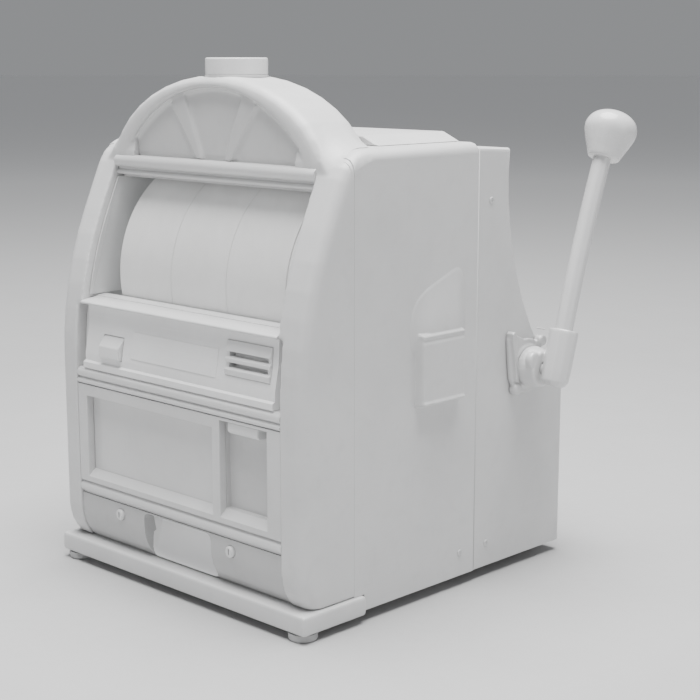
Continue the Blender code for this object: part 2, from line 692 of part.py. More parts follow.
def make_lower_panel(paint):
    """Panel under the lower rail with the payout mouth and two lock bores."""
    reach = OPEN_HALF - GAP
    low, high = PLINTH_HEIGHT + 0.0008, RAIL_LOWER[0] - GAP
    steps = 4
    heights = [low + (TUCK_START - low) * i / steps for i in range(steps + 1)] + [high]
    face = [(front_y(z) + 0.0030, z) for z in heights]
    item = prism("lower_panel", [face + [(0.0190, high), (0.0300, low)]], "X", -reach, reach)
    mouth = prism("payout_mouth", [rounded_rect(*MOUTH_X, *MOUTH_Z, 0.008)], "Y", -0.05, 0.05)
    cut(item, mouth, "front_door")
    for name, (x, z) in LOCKS.items():
        hole = [(0, 0.05), (0.0073, 0.05), (0.0073, -0.05), (0, -0.05)]
        bore = turned(name + "_bore", hole, (x, 0, z), "Y", 20)
        cut(item, bore, "front_door")
    ride(item, "front_door", paint, 30)


def make_locks(metal):
    """Turning lock plugs with a cam behind the panel."""
    for name, (x, z) in LOCKS.items():
        profile = [(0, 0.0045), (0.0052, 0.0045), (0.0068, 0.0030), (0.0068, -0.0220), (0, -0.0220)]
        item = turned(name, profile, (x, LOCK_Y, z), "Y", 20)
        key = block(name + "_keyway", (x - 0.0009, -0.01, z - 0.0036), (x + 0.0009, LOCK_Y + 0.001, z + 0.0036))
        cut(item, key, name)
        cam = block(name + "_cam", (x - 0.0045, LOCK_Y + 0.0185, z - 0.0050),
                    (x + 0.0045, LOCK_Y + 0.0210, z + 0.0120))
        cut(item, cam, name, "UNION")
        ride(item, name, metal, 40)


def make_payout_tray(metal):
    """Scooped bowl behind the payout mouth, open to the front, with a coin slot in its back."""
    x0, x1 = MOUTH_X
    front = 0.0305
    low, high = PLINTH_HEIGHT + 0.0010, RAIL_LOWER[0] - 0.0005
    box = [(front, low), (0.0640, low), (0.0640, high), (front, high)]
    item = prism("payout_tray", [box], "X", x0 - 0.006, x1 + 0.006)
    floor = MOUTH_Z[0] - 0.0005
    top = MOUTH_Z[1] - 0.0010
    outline = [(0, floor), (0.0080, floor + 0.0010), (0.0200, floor + 0.0090), (0.0340, floor + 0.0215),
               (0.0460, floor + 0.0285), (0.0600, floor + 0.0325), (0.0600, top), (0, top)]
    cut(item, prism("bowl", [outline], "X", x0 - 0.001, x1 + 0.001), "front_door")
    slot = block("coin_slot", (-0.0300, 0.05, 0.0600), (0.0300, 0.08, 0.0750))
    cut(item, slot, "front_door")
    ride(item, "front_door", metal, 40)


def make_candle(metal, lens, lamp):
    """Signal lamp on the crest: base disc, lens cup and the bulb inside it."""
    r = CANDLE_RADIUS
    base = [(0, 0.0035), (r, 0.0035), (r, GAP), (0, GAP)]
    ride(turned("candle_base", base, (0, CANDLE_Y, CANDLE_SEAT), steps=32), "front_door", metal, 40)
    foot = CANDLE_SEAT + 0.0035 + GAP
    height = CANDLE_TOP - foot
    cup = [(0, height), (r - 0.0015, height), (r - 0.0005, height - 0.001), (r - 0.0005, 0), (r - 0.003, 0),
           (r - 0.003, height - 0.0025), (0, height - 0.0025)]
    ride(turned("candle_lens", cup, (0, CANDLE_Y, foot), steps=32), "front_door", lens, 40)
    bulb = [(0, 0.0130), (0.0040, 0.0115), (0.0065, 0.0070), (0.0050, 0.0030), (0.0060, GAP), (0, GAP)]
    ride(turned("candle_lamp", bulb, (0, CANDLE_Y, foot), steps=12), "front_door", lamp, 60)


# ---------------------------------------------------------------- reels and mechanism
def make_reels(paper):
    """Three cup-shaped drums side by side, each with a web and a bored hub."""
    r, w = REEL_RADIUS, REEL_WIDTH / 2
    profile = [(r, w), (r, -w), (r - 0.003, -w), (r - 0.003, w - 0.003), (0.014, w - 0.003), (0.014, w - 0.018),
               (SHAFT_RADIUS + GAP, w - 0.018), (SHAFT_RADIUS + GAP, w)]
    for i in range(3):
        x = (i - 1) * (REEL_WIDTH + REEL_SPACE)
        name = f"reel_{i + 1}"
        ride(turned(name, profile, (x, REEL_Y, REEL_Z), "X", 44, ring=True), name, paper, 30)


def make_reel_motors(metal):
    """A motor inside each drum, held on the fixed shaft."""
    bore = SHAFT_RADIUS + GAP
    profile = [(0.026, 0.024), (0.028, 0.022), (0.028, -0.022), (0.026, -0.024), (bore, -0.024), (bore, 0.024)]
    for i in range(3):
        x = (i - 1) * (REEL_WIDTH + REEL_SPACE) - 0.010
        motor = turned(f"reel_motor_{i + 1}", profile, (x, REEL_Y, REEL_Z), "X", 16, ring=True)
        ride(motor, "machine", metal, 40)


def make_reel_frame(metal):
    """Two upright plates that carry the shaft, standing on the base plate."""
    foot = 0.008 + GAP
    plate = [(0.120, foot), (0.330, foot), (0.330, 0.030), (0.235, 0.150)]
    plate += arc((REEL_Y, REEL_Z), 0.045, 20, 160, 7) + [(0.135, 0.150), (0.120, 0.030)]
    hole = list(reversed(arc((REEL_Y, REEL_Z), SHAFT_RADIUS + GAP, 0, 330, 12)))
    for name, side in (("left", -1), ("right", 1)):
        edges = sorted((side * 0.1480, side * 0.1510))
        ride(prism("reel_frame_" + name, [plate, hole], "X", *edges), "machine", metal)
    shaft = [(0, 0.156), (SHAFT_RADIUS, 0.156), (SHAFT_RADIUS, -0.156), (0, -0.156)]
    ride(turned("reel_shaft", shaft, (0, REEL_Y, REEL_Z), "X", 16), "machine", metal, 40)


def make_hopper(metal, steel):
    """Open coin bin, its turning disc and the chute towards the tray."""
    shell = [(-0.070, 0.0085), (0.070, 0.0085), (0.085, 0.150), (-0.085, 0.150)]
    item = prism("hopper", [shell], "Y", 0.140, 0.250)
    inner = prism("hopper_inside", [[(-0.066, 0.0125), (0.066, 0.0125), (0.083, 0.170), (-0.083, 0.170)]], "Y",
                  0.143, 0.247)
    cut(item, inner, "machine")
    ride(item, "machine", metal)
    disc = [(0, 0.003), (0.044, 0.003), (0.044, -0.003), (0, -0.003)]
    wheel = turned("hopper_disc", disc, HOPPER_DISC, "Y", 28)
    for i in range(5):
        turn = 2 * pi * i / 5
        place = (HOPPER_DISC[0] + 0.028 * cos(turn), HOPPER_DISC[1], HOPPER_DISC[2] + 0.028 * sin(turn))
        pin = turned(f"coin_hole_{i}", [(0, 0.02), (0.0125, 0.02), (0.0125, -0.02), (0, -0.02)], place, "Y", 12)
        cut(wheel, pin, "hopper_disc")
    ride(wheel, "hopper_disc", steel, 40)
    trough = [(0.0670, 0.0600), (0.1180, 0.0820), (0.1180, 0.0980), (0.0670, 0.0760)]
    chute = prism("coin_chute", [trough], "X", -0.0280, 0.0280)
    channel = [(0.0600, 0.0590), (0.1300, 0.0892), (0.1300, 0.1200), (0.0600, 0.1200)]
    cut(chute, prism("chute_channel", [channel], "X", -0.0260, 0.0260), "machine")
    ride(chute, "machine", metal)


def make_power(metal, plastic):
    """Supply box on the base plate, inlet module in the rear wall and its rocker."""
    box = block("power_supply", (-0.190, 0.335, 0.0085), (-0.100, 0.425, 0.115))
    bevel(box, 0.002, 1)
    ride(box, "machine", metal)
    item = block("power_inlet", INLET_LOW, INLET_HIGH)
    socket = block("inlet_socket", INLET_SOCKET_LOW, INLET_SOCKET_HIGH)
    cut(item, socket, "machine")
    x, y, z = ROCKER
    well = block("rocker_well", (x - 0.0075, y - 0.008, z - 0.0115), (x + 0.0075, 0.48, z + 0.0115))
    cut(item, well, "machine")
    ride(item, "machine", plastic)
    outline = [(y - 0.0035, z - 0.0100), (y + 0.0035, z - 0.0100), (y + 0.0012, z), (y + 0.0055, z + 0.0095),
               (y - 0.0010, z + 0.0100)]
    ride(prism("power_rocker", [outline], "X", x - 0.0070, x + 0.0070), "power_rocker", plastic)


# ---------------------------------------------------------------- lever
def rod_y(z):
    """Depth of the lever rod's centreline: it bends slightly backwards."""
    return 0.3955 + 0.29 * (z - 0.302) + 0.2727 * (z - 0.302) ** 2


def make_lever_mount(metal, steel):
    """Fixed escutcheon with its ear, the bush in the wall, return spring and stop."""
    wall = REAR_HALF + GAP
    ear = arc((0.352, 0.276), 0.009, 60, 200, 5)
    flange = arc((LEVER_Y, LEVER_Z), 0.034, -160, 100, 18) + ear
    hole = list(reversed(arc((LEVER_Y, LEVER_Z), 0.0148, 0, 345, 20)))
    item = prism("lever_escutcheon", [flange, hole], "X", wall, wall + 0.006)
    bevel(item, 0.0015, 1, 40)
    ride(item, "machine", metal, 40)
    bush = [(0.0140, 0.0085), (0.0140, -0.0060), (0.0180, -0.0063), (0.0180, -0.0090), (0.0090, -0.0090),
            (0.0090, 0.0085)]
    ride(turned("lever_bushing", bush, (REAR_HALF - 0.0003, LEVER_Y, LEVER_Z), "X", 20, ring=True),
         "machine", steel, 40)
    turns, count = 4, 11
    coil = [(0.1560 + 0.0200 * i / (turns * count), LEVER_Y + 0.0150 * cos(2 * pi * i / count),
             LEVER_Z + 0.0150 * sin(2 * pi * i / count)) for i in range(turns * count + 1)]
    ride(tube("lever_return_spring", coil, 0.0012), "machine", steel, 60)
    stop = [(0, 0.016), (0.007, 0.016), (0.007, 0), (0, 0)]
    ride(turned("lever_stop", stop, (0.1840, 0.4200, 0.2085), "X", 12), "machine", metal, 40)


def make_lever(metal, steel, black):
    """The moving lever: shaft, inner crank, hub, socket, curved rod and pear-shaped knob."""
    shaft = [(0, 0.2500), (0.0087, 0.2500), (0.0087, 0.1500), (0, 0.1500)]
    ride(turned("lever_shaft", shaft, (0, LEVER_Y, LEVER_Z), "X", 16), "lever", steel, 40)
    crank = arc((LEVER_Y, LEVER_Z), 0.014, -60, 120, 8) + arc((0.348, 0.206), 0.007, 150, 300, 5)
    hole = list(reversed(arc((LEVER_Y, LEVER_Z), 0.0090, 0, 337.5, 16)))
    ride(prism("lever_crank", [crank, hole], "X", 0.1840, 0.1920), "lever", steel, 40)
    bore = 0.0090
    length = 0.2460 - REAR_HALF - 0.0090
    hub = [(0.0205, length), (0.0225, length - 0.002), (0.0255, 0.0060), (0.0240, 0), (bore, 0), (bore, length)]
    boss = turned("lever_hub", hub, (REAR_HALF + 0.0090, LEVER_Y, LEVER_Z), "X", 24, ring=True)
    ride(boss, "lever", metal, 40)
    lean = atan(0.283)
    block_profile = [(0, 0.0500), (0.0155, 0.0500), (0.0170, 0.0480), (0.0170, 0.0020), (0.0155, -0.0205),
                     (0.0130, -0.0230), (0, -0.0230)]
    socket = turned("lever_socket", block_profile, (LEVER_X, LEVER_Y - 0.0005, LEVER_Z), steps=20, tilt=lean)
    bore_cut = turned("socket_bore", [(0, 0.005), (0.0090, 0.005), (0.0090, -0.030), (0, -0.030)],
                      (0.2465, LEVER_Y, LEVER_Z), "X", 16)
    cut(socket, bore_cut, "lever")
    ride(socket, "lever", metal, 40)
    low, high, count = 0.2915, 0.4830, 9
    heights = [low + (high - 0.0008 - low) * i / count for i in range(count + 1)]
    ride(tube("lever_rod", [(LEVER_X, rod_y(z), z) for z in heights], ROD_RADIUS, 4), "lever", steel, 40)
    tip = atan(0.42)
    knob = [(0, 0.0695), (0.0120, 0.0685), (0.0225, 0.0635), (0.0295, 0.0540), (KNOB_RADIUS, 0.0430),
            (0.0305, 0.0320), (0.0240, 0.0160), (0.0175, 0.0060), (0.0150, 0.0010), (0.0140, 0.0004),
            (0, 0.0004)]
    place = (LEVER_X, rod_y(high) + 0.0012, high - 0.0010)
    ride(turned("lever_knob", knob, place, steps=24, tilt=tip), "lever", black, 60)


# ---------------------------------------------------------------- assembly
def make_groups():
    """Empties on the joint axes; every other group hangs from the machine's own."""
    empty = bpy.data.objects.new("machine_axis", None)
    PARTS.objects.link(empty)
    empty.location = ROOT
    GROUPS["machine"] = (empty, Vector((0, 0, 0)))
    group("front_door", (HINGE_X, DOOR_BACK, 0.25), "machine")
    group("spin_button", (sum(BUTTON_X) / 2, 0.020, sum(BUTTON_Z) / 2), "front_door")
    for name, (x, z) in LOCKS.items():
        group(name, (x, LOCK_Y, z), "front_door")
    group("lever", (LEVER_X, LEVER_Y, LEVER_Z), "machine")
    for i in range(3):
        group(f"reel_{i + 1}", ((i - 1) * (REEL_WIDTH + REEL_SPACE), REEL_Y, REEL_Z), "machine")
    group("hopper_disc", HOPPER_DISC, "machine")
    group("power_rocker", ROCKER, "machine")


def main():
    global PARTS, CUTTERS
    clear_scene()
    PARTS = new_collection("slot_machine")
    CUTTERS = new_collection("cutters")
    make_groups()
    paint = material("satin_paint", 0.62, 0.45)
    inset = material("inset_paint", 0.56, 0.50)
    bright = material("bright_trim", 0.70, 0.28, 0.9)
    steel = material("plain_steel", 0.52, 0.38, 1.0)
    zinc = material("zinc_plate", 0.50, 0.50, 0.8)
    plastic = material("moulded_plastic", 0.55, 0.40)
    glass = material("clear_glass", 0.85, 0.05, 0.0, 0.3)
    award = material("printed_glass", 0.66, 0.15)
    paper = material("reel_strip", 0.72, 0.50)
    lens = material("lens_plastic", 0.80, 0.20)
    rubber = material("foot_rubber", 0.42, 0.80)
    knob = material("knob_plastic", 0.60, 0.22)

    make_plinth(paint)
    make_feet(rubber)
    make_base_plate(zinc)
    make_cabinet_shell(paint)
    make_rear_shell(paint)
    make_top_lid(paint)
    make_side_box(paint)
    make_window_liners(inset)
    make_door_hinge(steel)

    make_front_casting(paint)
    make_sunburst(award)
    make_bars(bright)
    make_reel_glass(glass)
    make_sill(bright)
    make_button_panel(inset)
    make_spin_button(plastic)
    make_coin_acceptor(plastic)
    make_rail("upper_rail", *RAIL_UPPER, ((0.2226, 0.0033), (0.2325, 0.0062)), bright)
    make_belly_frame(paint)
    make_belly_panels(award, inset)
    make_bay_hood(plastic)
    make_rail("lower_rail", *RAIL_LOWER, ((0.0886, 0.0074),), bright)
    make_lower_panel(inset)
    make_locks(bright)
    make_payout_tray(bright)
    make_candle(bright, lens, lens)

    make_reels(paper)
    make_reel_motors(zinc)
    make_reel_frame(zinc)
    make_hopper(zinc, steel)
    make_power(zinc, plastic)
    make_lever_mount(zinc, steel)
    make_lever(bright, steel, knob)


main()
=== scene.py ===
"""Looks for the counter-top slot machine: finishes, fine shapes, floor, lights and camera."""
from math import acos, cos, exp, pi, radians, sin, sqrt

import bmesh
import bpy
from mathutils import Matrix, Vector


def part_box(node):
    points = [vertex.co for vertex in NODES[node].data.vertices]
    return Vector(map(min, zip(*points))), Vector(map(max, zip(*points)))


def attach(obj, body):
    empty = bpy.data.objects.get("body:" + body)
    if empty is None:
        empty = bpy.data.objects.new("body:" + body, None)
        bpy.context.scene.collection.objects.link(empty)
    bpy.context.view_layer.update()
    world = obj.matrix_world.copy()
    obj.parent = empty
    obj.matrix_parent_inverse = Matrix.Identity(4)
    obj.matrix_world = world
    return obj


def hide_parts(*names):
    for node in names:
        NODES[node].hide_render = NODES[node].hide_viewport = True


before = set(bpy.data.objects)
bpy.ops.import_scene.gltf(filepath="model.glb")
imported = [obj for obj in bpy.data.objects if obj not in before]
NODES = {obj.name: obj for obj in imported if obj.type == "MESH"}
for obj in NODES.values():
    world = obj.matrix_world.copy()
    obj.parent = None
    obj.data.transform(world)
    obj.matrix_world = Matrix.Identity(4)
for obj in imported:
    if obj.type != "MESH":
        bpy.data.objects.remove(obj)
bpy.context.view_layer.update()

# ---------------------------------------------------------------- places taken from the frame
PLINTH_LOW, PLINTH_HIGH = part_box("plinth")
# x = 0 is the mid-plane, y = 0 the plinth's front, z = 0 just above the plinth's underside
ORIGIN = Vector(((PLINTH_LOW.x + PLINTH_HIGH.x) / 2, PLINTH_LOW.y, PLINTH_LOW.z + 0.0022))


def place(x, y, z):
    """A point given from the machine's own origin, in the frame's coordinates."""
    return ORIGIN + Vector((x, y, z))


# ---------------------------------------------------------------- node materials
def add_node(tree, kind, **values):
    """A node with settings given by attribute name or by input name."""
    node = tree.nodes.new(kind)
    for key, value in values.items():
        if hasattr(node, key):
            setattr(node, key, value)
        else:
            node.inputs[key.replace("_", " ")].default_value = value
    return node


def noise(tree, coords, scale, detail=4.0, rough=0.55, stretch=None):
    """Noise around 0.5, drawn out along an axis when stretch is given."""
    node = add_node(tree, "ShaderNodeTexNoise", Scale=scale, Detail=detail, Roughness=rough)
    if stretch:
        mapping = add_node(tree, "ShaderNodeMapping")
        mapping.inputs["Scale"].default_value = stretch
        tree.links.new(coords, mapping.inputs["Vector"])
        coords = mapping.outputs["Vector"]
    tree.links.new(coords, node.inputs["Vector"])
    return node.outputs["Fac"]


def ranged(tree, value, low, high, to_low, to_high):
    """A value carried from one range to another and held at its ends."""
    node = tree.nodes.new("ShaderNodeMapRange")
    for key, number in (("From Min", low), ("From Max", high), ("To Min", to_low), ("To Max", to_high)):
        node.inputs[key].default_value = number
    tree.links.new(value, node.inputs["Value"])
    return node.outputs["Result"]


def mixed(tree, factor, first, second):
    """The first colour at factor 0 and the second at 1."""
    node = tree.nodes.new("ShaderNodeMix")
    node.data_type = "RGBA"
    for index, value in ((6, first), (7, second)):
        if isinstance(value, tuple):
            node.inputs[index].default_value = (*value, 1.0)
        else:
            tree.links.new(value, node.inputs[index])
    tree.links.new(factor, node.inputs[0])
    return node.outputs[2]


def bumped(tree, height, distance, strength=1.0, before=None):
    """Relief from a height, laid over the relief before it."""
    node = add_node(tree, "ShaderNodeBump", Strength=strength, Distance=distance)
    tree.links.new(height, node.inputs["Height"])
    if before:
        tree.links.new(before, node.inputs["Normal"])
    return node.outputs["Normal"]


def grey(value, warm=0.0):
    """A grey as red, green and blue, a little warm when asked."""
    return (value * (1 + warm), value, value * (1 - warm))


# edge sets the painted highlight on convex edges; the corner-darkening amount sets painted shade with a little
# dust.
def surface(name, tone, rough, metallic=0.0, warm=0.0, cloud=0.05, grain=(1400.0, 0.00006), brush=None,
            scratch=0.12, shade_and_dust=0.14, coat=0.0, edge=0.2):
    """A finish with cloudy tone, fine grain, faint scratches, a painted highlight on convex edges and painted
    shade with a little dust in the corners.
    """
    made = bpy.data.materials.new(name)
    made.use_nodes = True
    tree = made.node_tree
    shader = tree.nodes["Principled BSDF"]
    coords = add_node(tree, "ShaderNodeTexCoord").outputs["Object"]
    clouds = noise(tree, coords, 9.0, 5.0)
    patches = noise(tree, coords, 55.0, 6.0, 0.65)
    fine = noise(tree, coords, grain[0], 3.0, 0.5, brush)
    colour = mixed(tree, ranged(tree, clouds, 0.3, 0.7, 0.0, 1.0), grey(tone * (1 - cloud), warm),
                   grey(tone * (1 + cloud), warm * 0.6))
    flecks = ranged(tree, patches, 0.52, 0.72, 0.0, 0.35)
    colour = mixed(tree, flecks, colour, grey(tone * (1 - 2.2 * cloud), warm))
    lines = noise(tree, coords, 90.0, 1.0, 0.4, (0.12, 0.12, 9.0))
    marks = ranged(tree, lines, 0.64, 0.72, 0.0, scratch)
    colour = mixed(tree, marks, colour, grey(min(1.0, tone * 1.18), warm))
    # Painted highlight: convex edges are lightened as if light caught them.
    crest = add_node(tree, "ShaderNodeNewGeometry").outputs["Pointiness"]
    painted_edge_highlight = ranged(tree, crest, 0.515, 0.60, 0.0, edge)
    colour = mixed(tree, painted_edge_highlight, colour, grey(min(1.0, tone * 1.25), warm))
    # Painted shade with a little dust: occluded corners, creases and recesses are darkened towards a warm dark
    # grey.
    if shade_and_dust:
        hollow = add_node(tree, "ShaderNodeAmbientOcclusion", samples=6, only_local=False)
        hollow.inputs["Distance"].default_value = 0.018
        shade_and_dust_mask = ranged(tree, hollow.outputs["AO"], 0.25, 0.85, shade_and_dust, 0.0)
        colour = mixed(tree, shade_and_dust_mask, colour, grey(tone * 0.45, warm + 0.02))
    tree.links.new(colour, shader.inputs["Base Color"])
    tree.links.new(ranged(tree, patches, 0.25, 0.75, rough * 0.82, min(1.0, rough * 1.2)),
                   shader.inputs["Roughness"])
    waves = bumped(tree, clouds, 0.0012, 0.15)
    relief = bumped(tree, fine, grain[1], 1.0, waves)
    tree.links.new(relief, shader.inputs["Normal"])
    shader.inputs["Metallic"].default_value = metallic
    shader.inputs["Coat Weight"].default_value = coat
    return made


def clear_pane(name):
    """Thin clear glass that lets the light through, with faint smears."""
    made = bpy.data.materials.new(name)
    made.use_nodes = True
    tree = made.node_tree
    shader = tree.nodes["Principled BSDF"]
    coords = add_node(tree, "ShaderNodeTexCoord").outputs["Object"]
    smears = noise(tree, coords, 22.0, 6.0, 0.7, (1.0, 1.0, 0.4))
    tree.links.new(ranged(tree, smears, 0.45, 0.8, 0.02, 0.16), shader.inputs["Roughness"])
    tree.links.new(ranged(tree, smears, 0.4, 0.9, 0.05, 0.12), shader.inputs["Alpha"])
    shader.inputs["Base Color"].default_value = (0.9, 0.92, 0.92, 1.0)
    shader.inputs["IOR"].default_value = 1.45
    made.surface_render_method = "BLENDED"
    return made


MAT = {
    "satin_paint": surface("satin_paint", 0.62, 0.46, coat=0.05),
    "inset_paint": surface("inset_paint", 0.56, 0.52, grain=(1100.0, 0.00009)),
    "bright_trim": surface("bright_trim", 0.66, 0.34, 0.12, cloud=0.02, brush=(0.15, 1.0, 1.0), scratch=0.04),
    "plain_steel": surface("plain_steel", 0.66, 0.38, 0.20, cloud=0.03, brush=(1.0, 1.0, 0.12), scratch=0.05),
    "zinc_plate": surface("zinc_plate", 0.60, 0.48, 0.25, cloud=0.05, grain=(700.0, 0.00008), scratch=0.05),
    "moulded_plastic": surface("moulded_plastic", 0.70, 0.42, grain=(1900.0, 0.00008)),
    "award_glass": surface("award_glass", 0.60, 0.20, grain=(300.0, 0.00002), scratch=0.05, coat=0.4),
    "reel_strip": surface("reel_strip", 0.74, 0.50, warm=0.01, grain=(2400.0, 0.00005), scratch=0.04),
    "lens_plastic": surface("lens_plastic", 0.78, 0.30, grain=(500.0, 0.00004), coat=0.3),
    "foot_rubber": surface("foot_rubber", 0.42, 0.80, grain=(1300.0, 0.00014), shade_and_dust=0.2),
    "knob_plastic": surface("knob_plastic", 0.66, 0.26, grain=(300.0, 0.00003), coat=0.35),
    "clear_glass": clear_pane("clear_glass"),
    # Painted light: near-white steel, so the deep payout mouth reads as lit.
    "tray_painted_light": surface("tray_painted_light", 0.96, 0.40, 0.0, cloud=0.01, scratch=0.04, shade_and_dust=0.0, edge=0.0),
    # Painted light: a paler copy of the paint for the button panel, brightened where the sill shades it.
    "panel_painted_light": surface("panel_painted_light", 0.80, 0.50, grain=(1100.0, 0.00009)),
    "lower_paint": surface("lower_paint", 0.49, 0.52, grain=(1100.0, 0.00009)),
    "seam_shade": surface("seam_shade", 0.46, 0.70, cloud=0.03, scratch=0.0, shade_and_dust=0.0),
    # Painted shadow: near black, for the strips under the louvres.
    "painted_slot_shadow": surface("painted_slot_shadow", 0.09, 0.85, cloud=0.03, scratch=0.0, shade_and_dust=0.0),
}


# ---------------------------------------------------------------- mesh helpers
def new_piece(name, mesh_or_bm, body, slot_name, material=None):
    """A named object that moves with a body and carries one material slot."""
    if isinstance(mesh_or_bm, bmesh.types.BMesh):
        mesh = bpy.data.meshes.new(name)
        mesh_or_bm.to_mesh(mesh)
        mesh_or_bm.free()
    else:
        mesh = mesh_or_bm
    for polygon in mesh.polygons:
        polygon.use_smooth = True
    item = bpy.data.objects.new(name, mesh)
    bpy.context.scene.collection.objects.link(item)
    mesh.materials.clear()
    mesh.materials.append(material or MAT[slot_name])
    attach(item, body)
    return item


def soften(item, width=0.0008, angle=32, weld=False):
    """Small rounded edges with even shading."""
    if weld:
        joint = item.modifiers.new("weld", "WELD")
        joint.merge_threshold = 0.00002
    edge = item.modifiers.new("edge", "BEVEL")
    edge.width = width
    edge.segments = 2
    edge.limit_method = "ANGLE"
    edge.angle_limit = radians(angle)
    even = item.modifiers.new("even", "WEIGHTED_NORMAL")
    even.keep_sharp = False
    even.weight = 60


def welded_copy(node):
    """The shape of a CAD node with its touching vertices joined."""
    bm = bmesh.new()
    bm.from_mesh(NODES[node].data)
    bmesh.ops.remove_doubles(bm, verts=bm.verts, dist=0.00002)
    return bm


def evaluated(item):
    """The mesh of an object with its modifiers applied; the object is removed."""
    graph = bpy.context.evaluated_depsgraph_get()
    mesh = bpy.data.meshes.new_from_object(item.evaluated_get(graph))
    bpy.data.objects.remove(item)
    return mesh


def remoulded(bm, voxel, rounds):
    """The same shape as one soft-edged moulding."""
    mesh = bpy.data.meshes.new("working")
    bm.to_mesh(mesh)
    bm.free()
    item = bpy.data.objects.new("working", mesh)
    bpy.context.scene.collection.objects.link(item)
    melt = item.modifiers.new("melt", "REMESH")
    melt.mode = "VOXEL"
    melt.voxel_size = voxel
    relax = item.modifiers.new("relax", "SMOOTH")
    relax.factor = 0.5
    relax.iterations = rounds
    return evaluated(item)


def cut_away(mesh, cutter):
    """The mesh with a closed solid taken out of it."""
    tool_mesh = bpy.data.meshes.new("cutter")
    cutter.to_mesh(tool_mesh)
    cutter.free()
    tool = bpy.data.objects.new("cutter", tool_mesh)
    item = bpy.data.objects.new("working", mesh)
    for part in (tool, item):
        bpy.context.scene.collection.objects.link(part)
    cut = item.modifiers.new("cut", "BOOLEAN")
    cut.object = tool
    cut.operation = "DIFFERENCE"
    made = evaluated(item)
    bpy.data.objects.remove(tool)
    return made


def lathe(profile, centre, axis="Z", steps=64, tilt=None):
    """Closed solid turned from (radius, height) points about an axis through centre."""
    bm = bmesh.new()
    rings = []
    for radius, height in profile:
        if radius < 1e-6:
            rings.append([bm.verts.new((0, 0, height))])
            continue
        turns = [2 * pi * i / steps for i in range(steps)]
        rings.append([bm.verts.new((radius * cos(a), radius * sin(a), height)) for a in turns])
    for low, high in zip(rings, rings[1:]):
        for i in range(steps):
            j = (i + 1) % steps
            corners = [low[i % len(low)], low[j % len(low)], high[j % len(high)], high[i % len(high)]]
            face = list(dict.fromkeys(corners))
            if len(face) > 2:
                bm.faces.new(face)
    turn = {"Z": Matrix(), "X": Matrix.Rotation(pi / 2, 4, "Y"), "Y": Matrix.Rotation(-pi / 2, 4, "X")}[axis]
    if tilt:
        turn = tilt @ turn
    bmesh.ops.transform(bm, matrix=Matrix.Translation(centre) @ turn, verts=bm.verts)
    bmesh.ops.recalc_face_normals(bm, faces=bm.faces)
    return bm


def slab(outline, low, high, plane="XZ"):
    """Solid from an outline in machine coordinates; plane XZ runs along y and YZ along x."""
    order = {"XZ": (0, 2, 1), "YZ": (2, 0, 1)}[plane]
    bm = bmesh.new()
    rings = []
    for w in (low, high):
        corners = [(u, v, w) for u, v in outline]
        rings.append([bm.verts.new(place(*(corner[k] for k in order))) for corner in corners])
    bm.faces.new(rings[0])
    bm.faces.new(rings[1])
    for i in range(len(outline)):
        j = (i + 1) % len(outline)
        bm.faces.new((rings[0][i], rings[0][j], rings[1][j], rings[1][i]))
    bmesh.ops.recalc_face_normals(bm, faces=bm.faces)
    return bm


def join_in(bm, other):
    """Put the faces of another shape into bm."""
    mesh = bpy.data.meshes.new("part")
    other.to_mesh(mesh)
    other.free()
    bm.from_mesh(mesh)
    bpy.data.meshes.remove(mesh)


def rounded(low, high, radius, count=5):
    """Rounded rectangle from corner low to corner high."""
    points = []
    centres = [(high[0] - radius, high[1] - radius, 0), (low[0] + radius, high[1] - radius, 90),
               (low[0] + radius, low[1] + radius, 180), (high[0] - radius, low[1] + radius, 270)]
    for u, v, first in centres:
        for i in range(count + 1):
            turn = radians(first + 90 * i / count)
            points.append((u + radius * cos(turn), v + radius * sin(turn)))
    return points


# ---------------------------------------------------------------- carried-over CAD nodes
SLOT_OF = {}
for row_name, node in NODES.items():
    old = node.data.materials[0].name.split(".")[0] if node.data.materials else "satin_paint"
    SLOT_OF[row_name] = "award_glass" if old == "printed_glass" else old

# The button panel takes a paler copy of the paint as painted light; the lower panel takes a darker copy.
FINISH_OF = {"button_panel": "panel_painted_light", "lower_panel": "lower_paint"}
KEPT_PLAIN = ("lever_return_spring", "reel_glass", "belly_glass")      # no rounded edges on these


def finish_cad_nodes():
    """Give every CAD node its finish, and all but the plain ones small rounded edges."""
    for name, item in NODES.items():
        finish = MAT[FINISH_OF.get(name, SLOT_OF[name])]
        for slot in item.material_slots:
            slot.material = finish
        if name not in KEPT_PLAIN:
            soften(item, 0.0006, weld=True)


# ---------------------------------------------------------------- stage
FLOOR_REACH = 60.0              # half the floor's side
FLOOR_NEAR, FLOOR_FAR = 1.4, 6.0        # the floor grows paler between these distances


def make_stage():
    """Plain floor that grows paler far from the machine, where less light falls on it."""
    floor = bmesh.new()
    bmesh.ops.create_grid(floor, x_segments=16, y_segments=16, size=FLOOR_REACH)
    mesh = bpy.data.meshes.new("floor")
    floor.to_mesh(mesh)
    floor.free()
    item = bpy.data.objects.new("floor", mesh)
    bpy.context.scene.collection.objects.link(item)
    board = surface("floor_board", 0.46, 0.75, cloud=0.015, grain=(500.0, 0.0001), scratch=0.0, shade_and_dust=0.0,
                    edge=0.0)
    tree = board.node_tree
    colour = tree.nodes["Principled BSDF"].inputs["Base Color"]
    spot = add_node(tree, "ShaderNodeTexCoord").outputs["Object"]
    length = add_node(tree, "ShaderNodeVectorMath", operation="LENGTH")
    tree.links.new(spot, length.inputs[0])
    far = ranged(tree, length.outputs["Value"], FLOOR_NEAR, FLOOR_FAR, 0.0, 1.0)
    tree.links.new(mixed(tree, far, colour.links[0].from_socket, grey(0.96)), colour)
    mesh.materials.append(board)


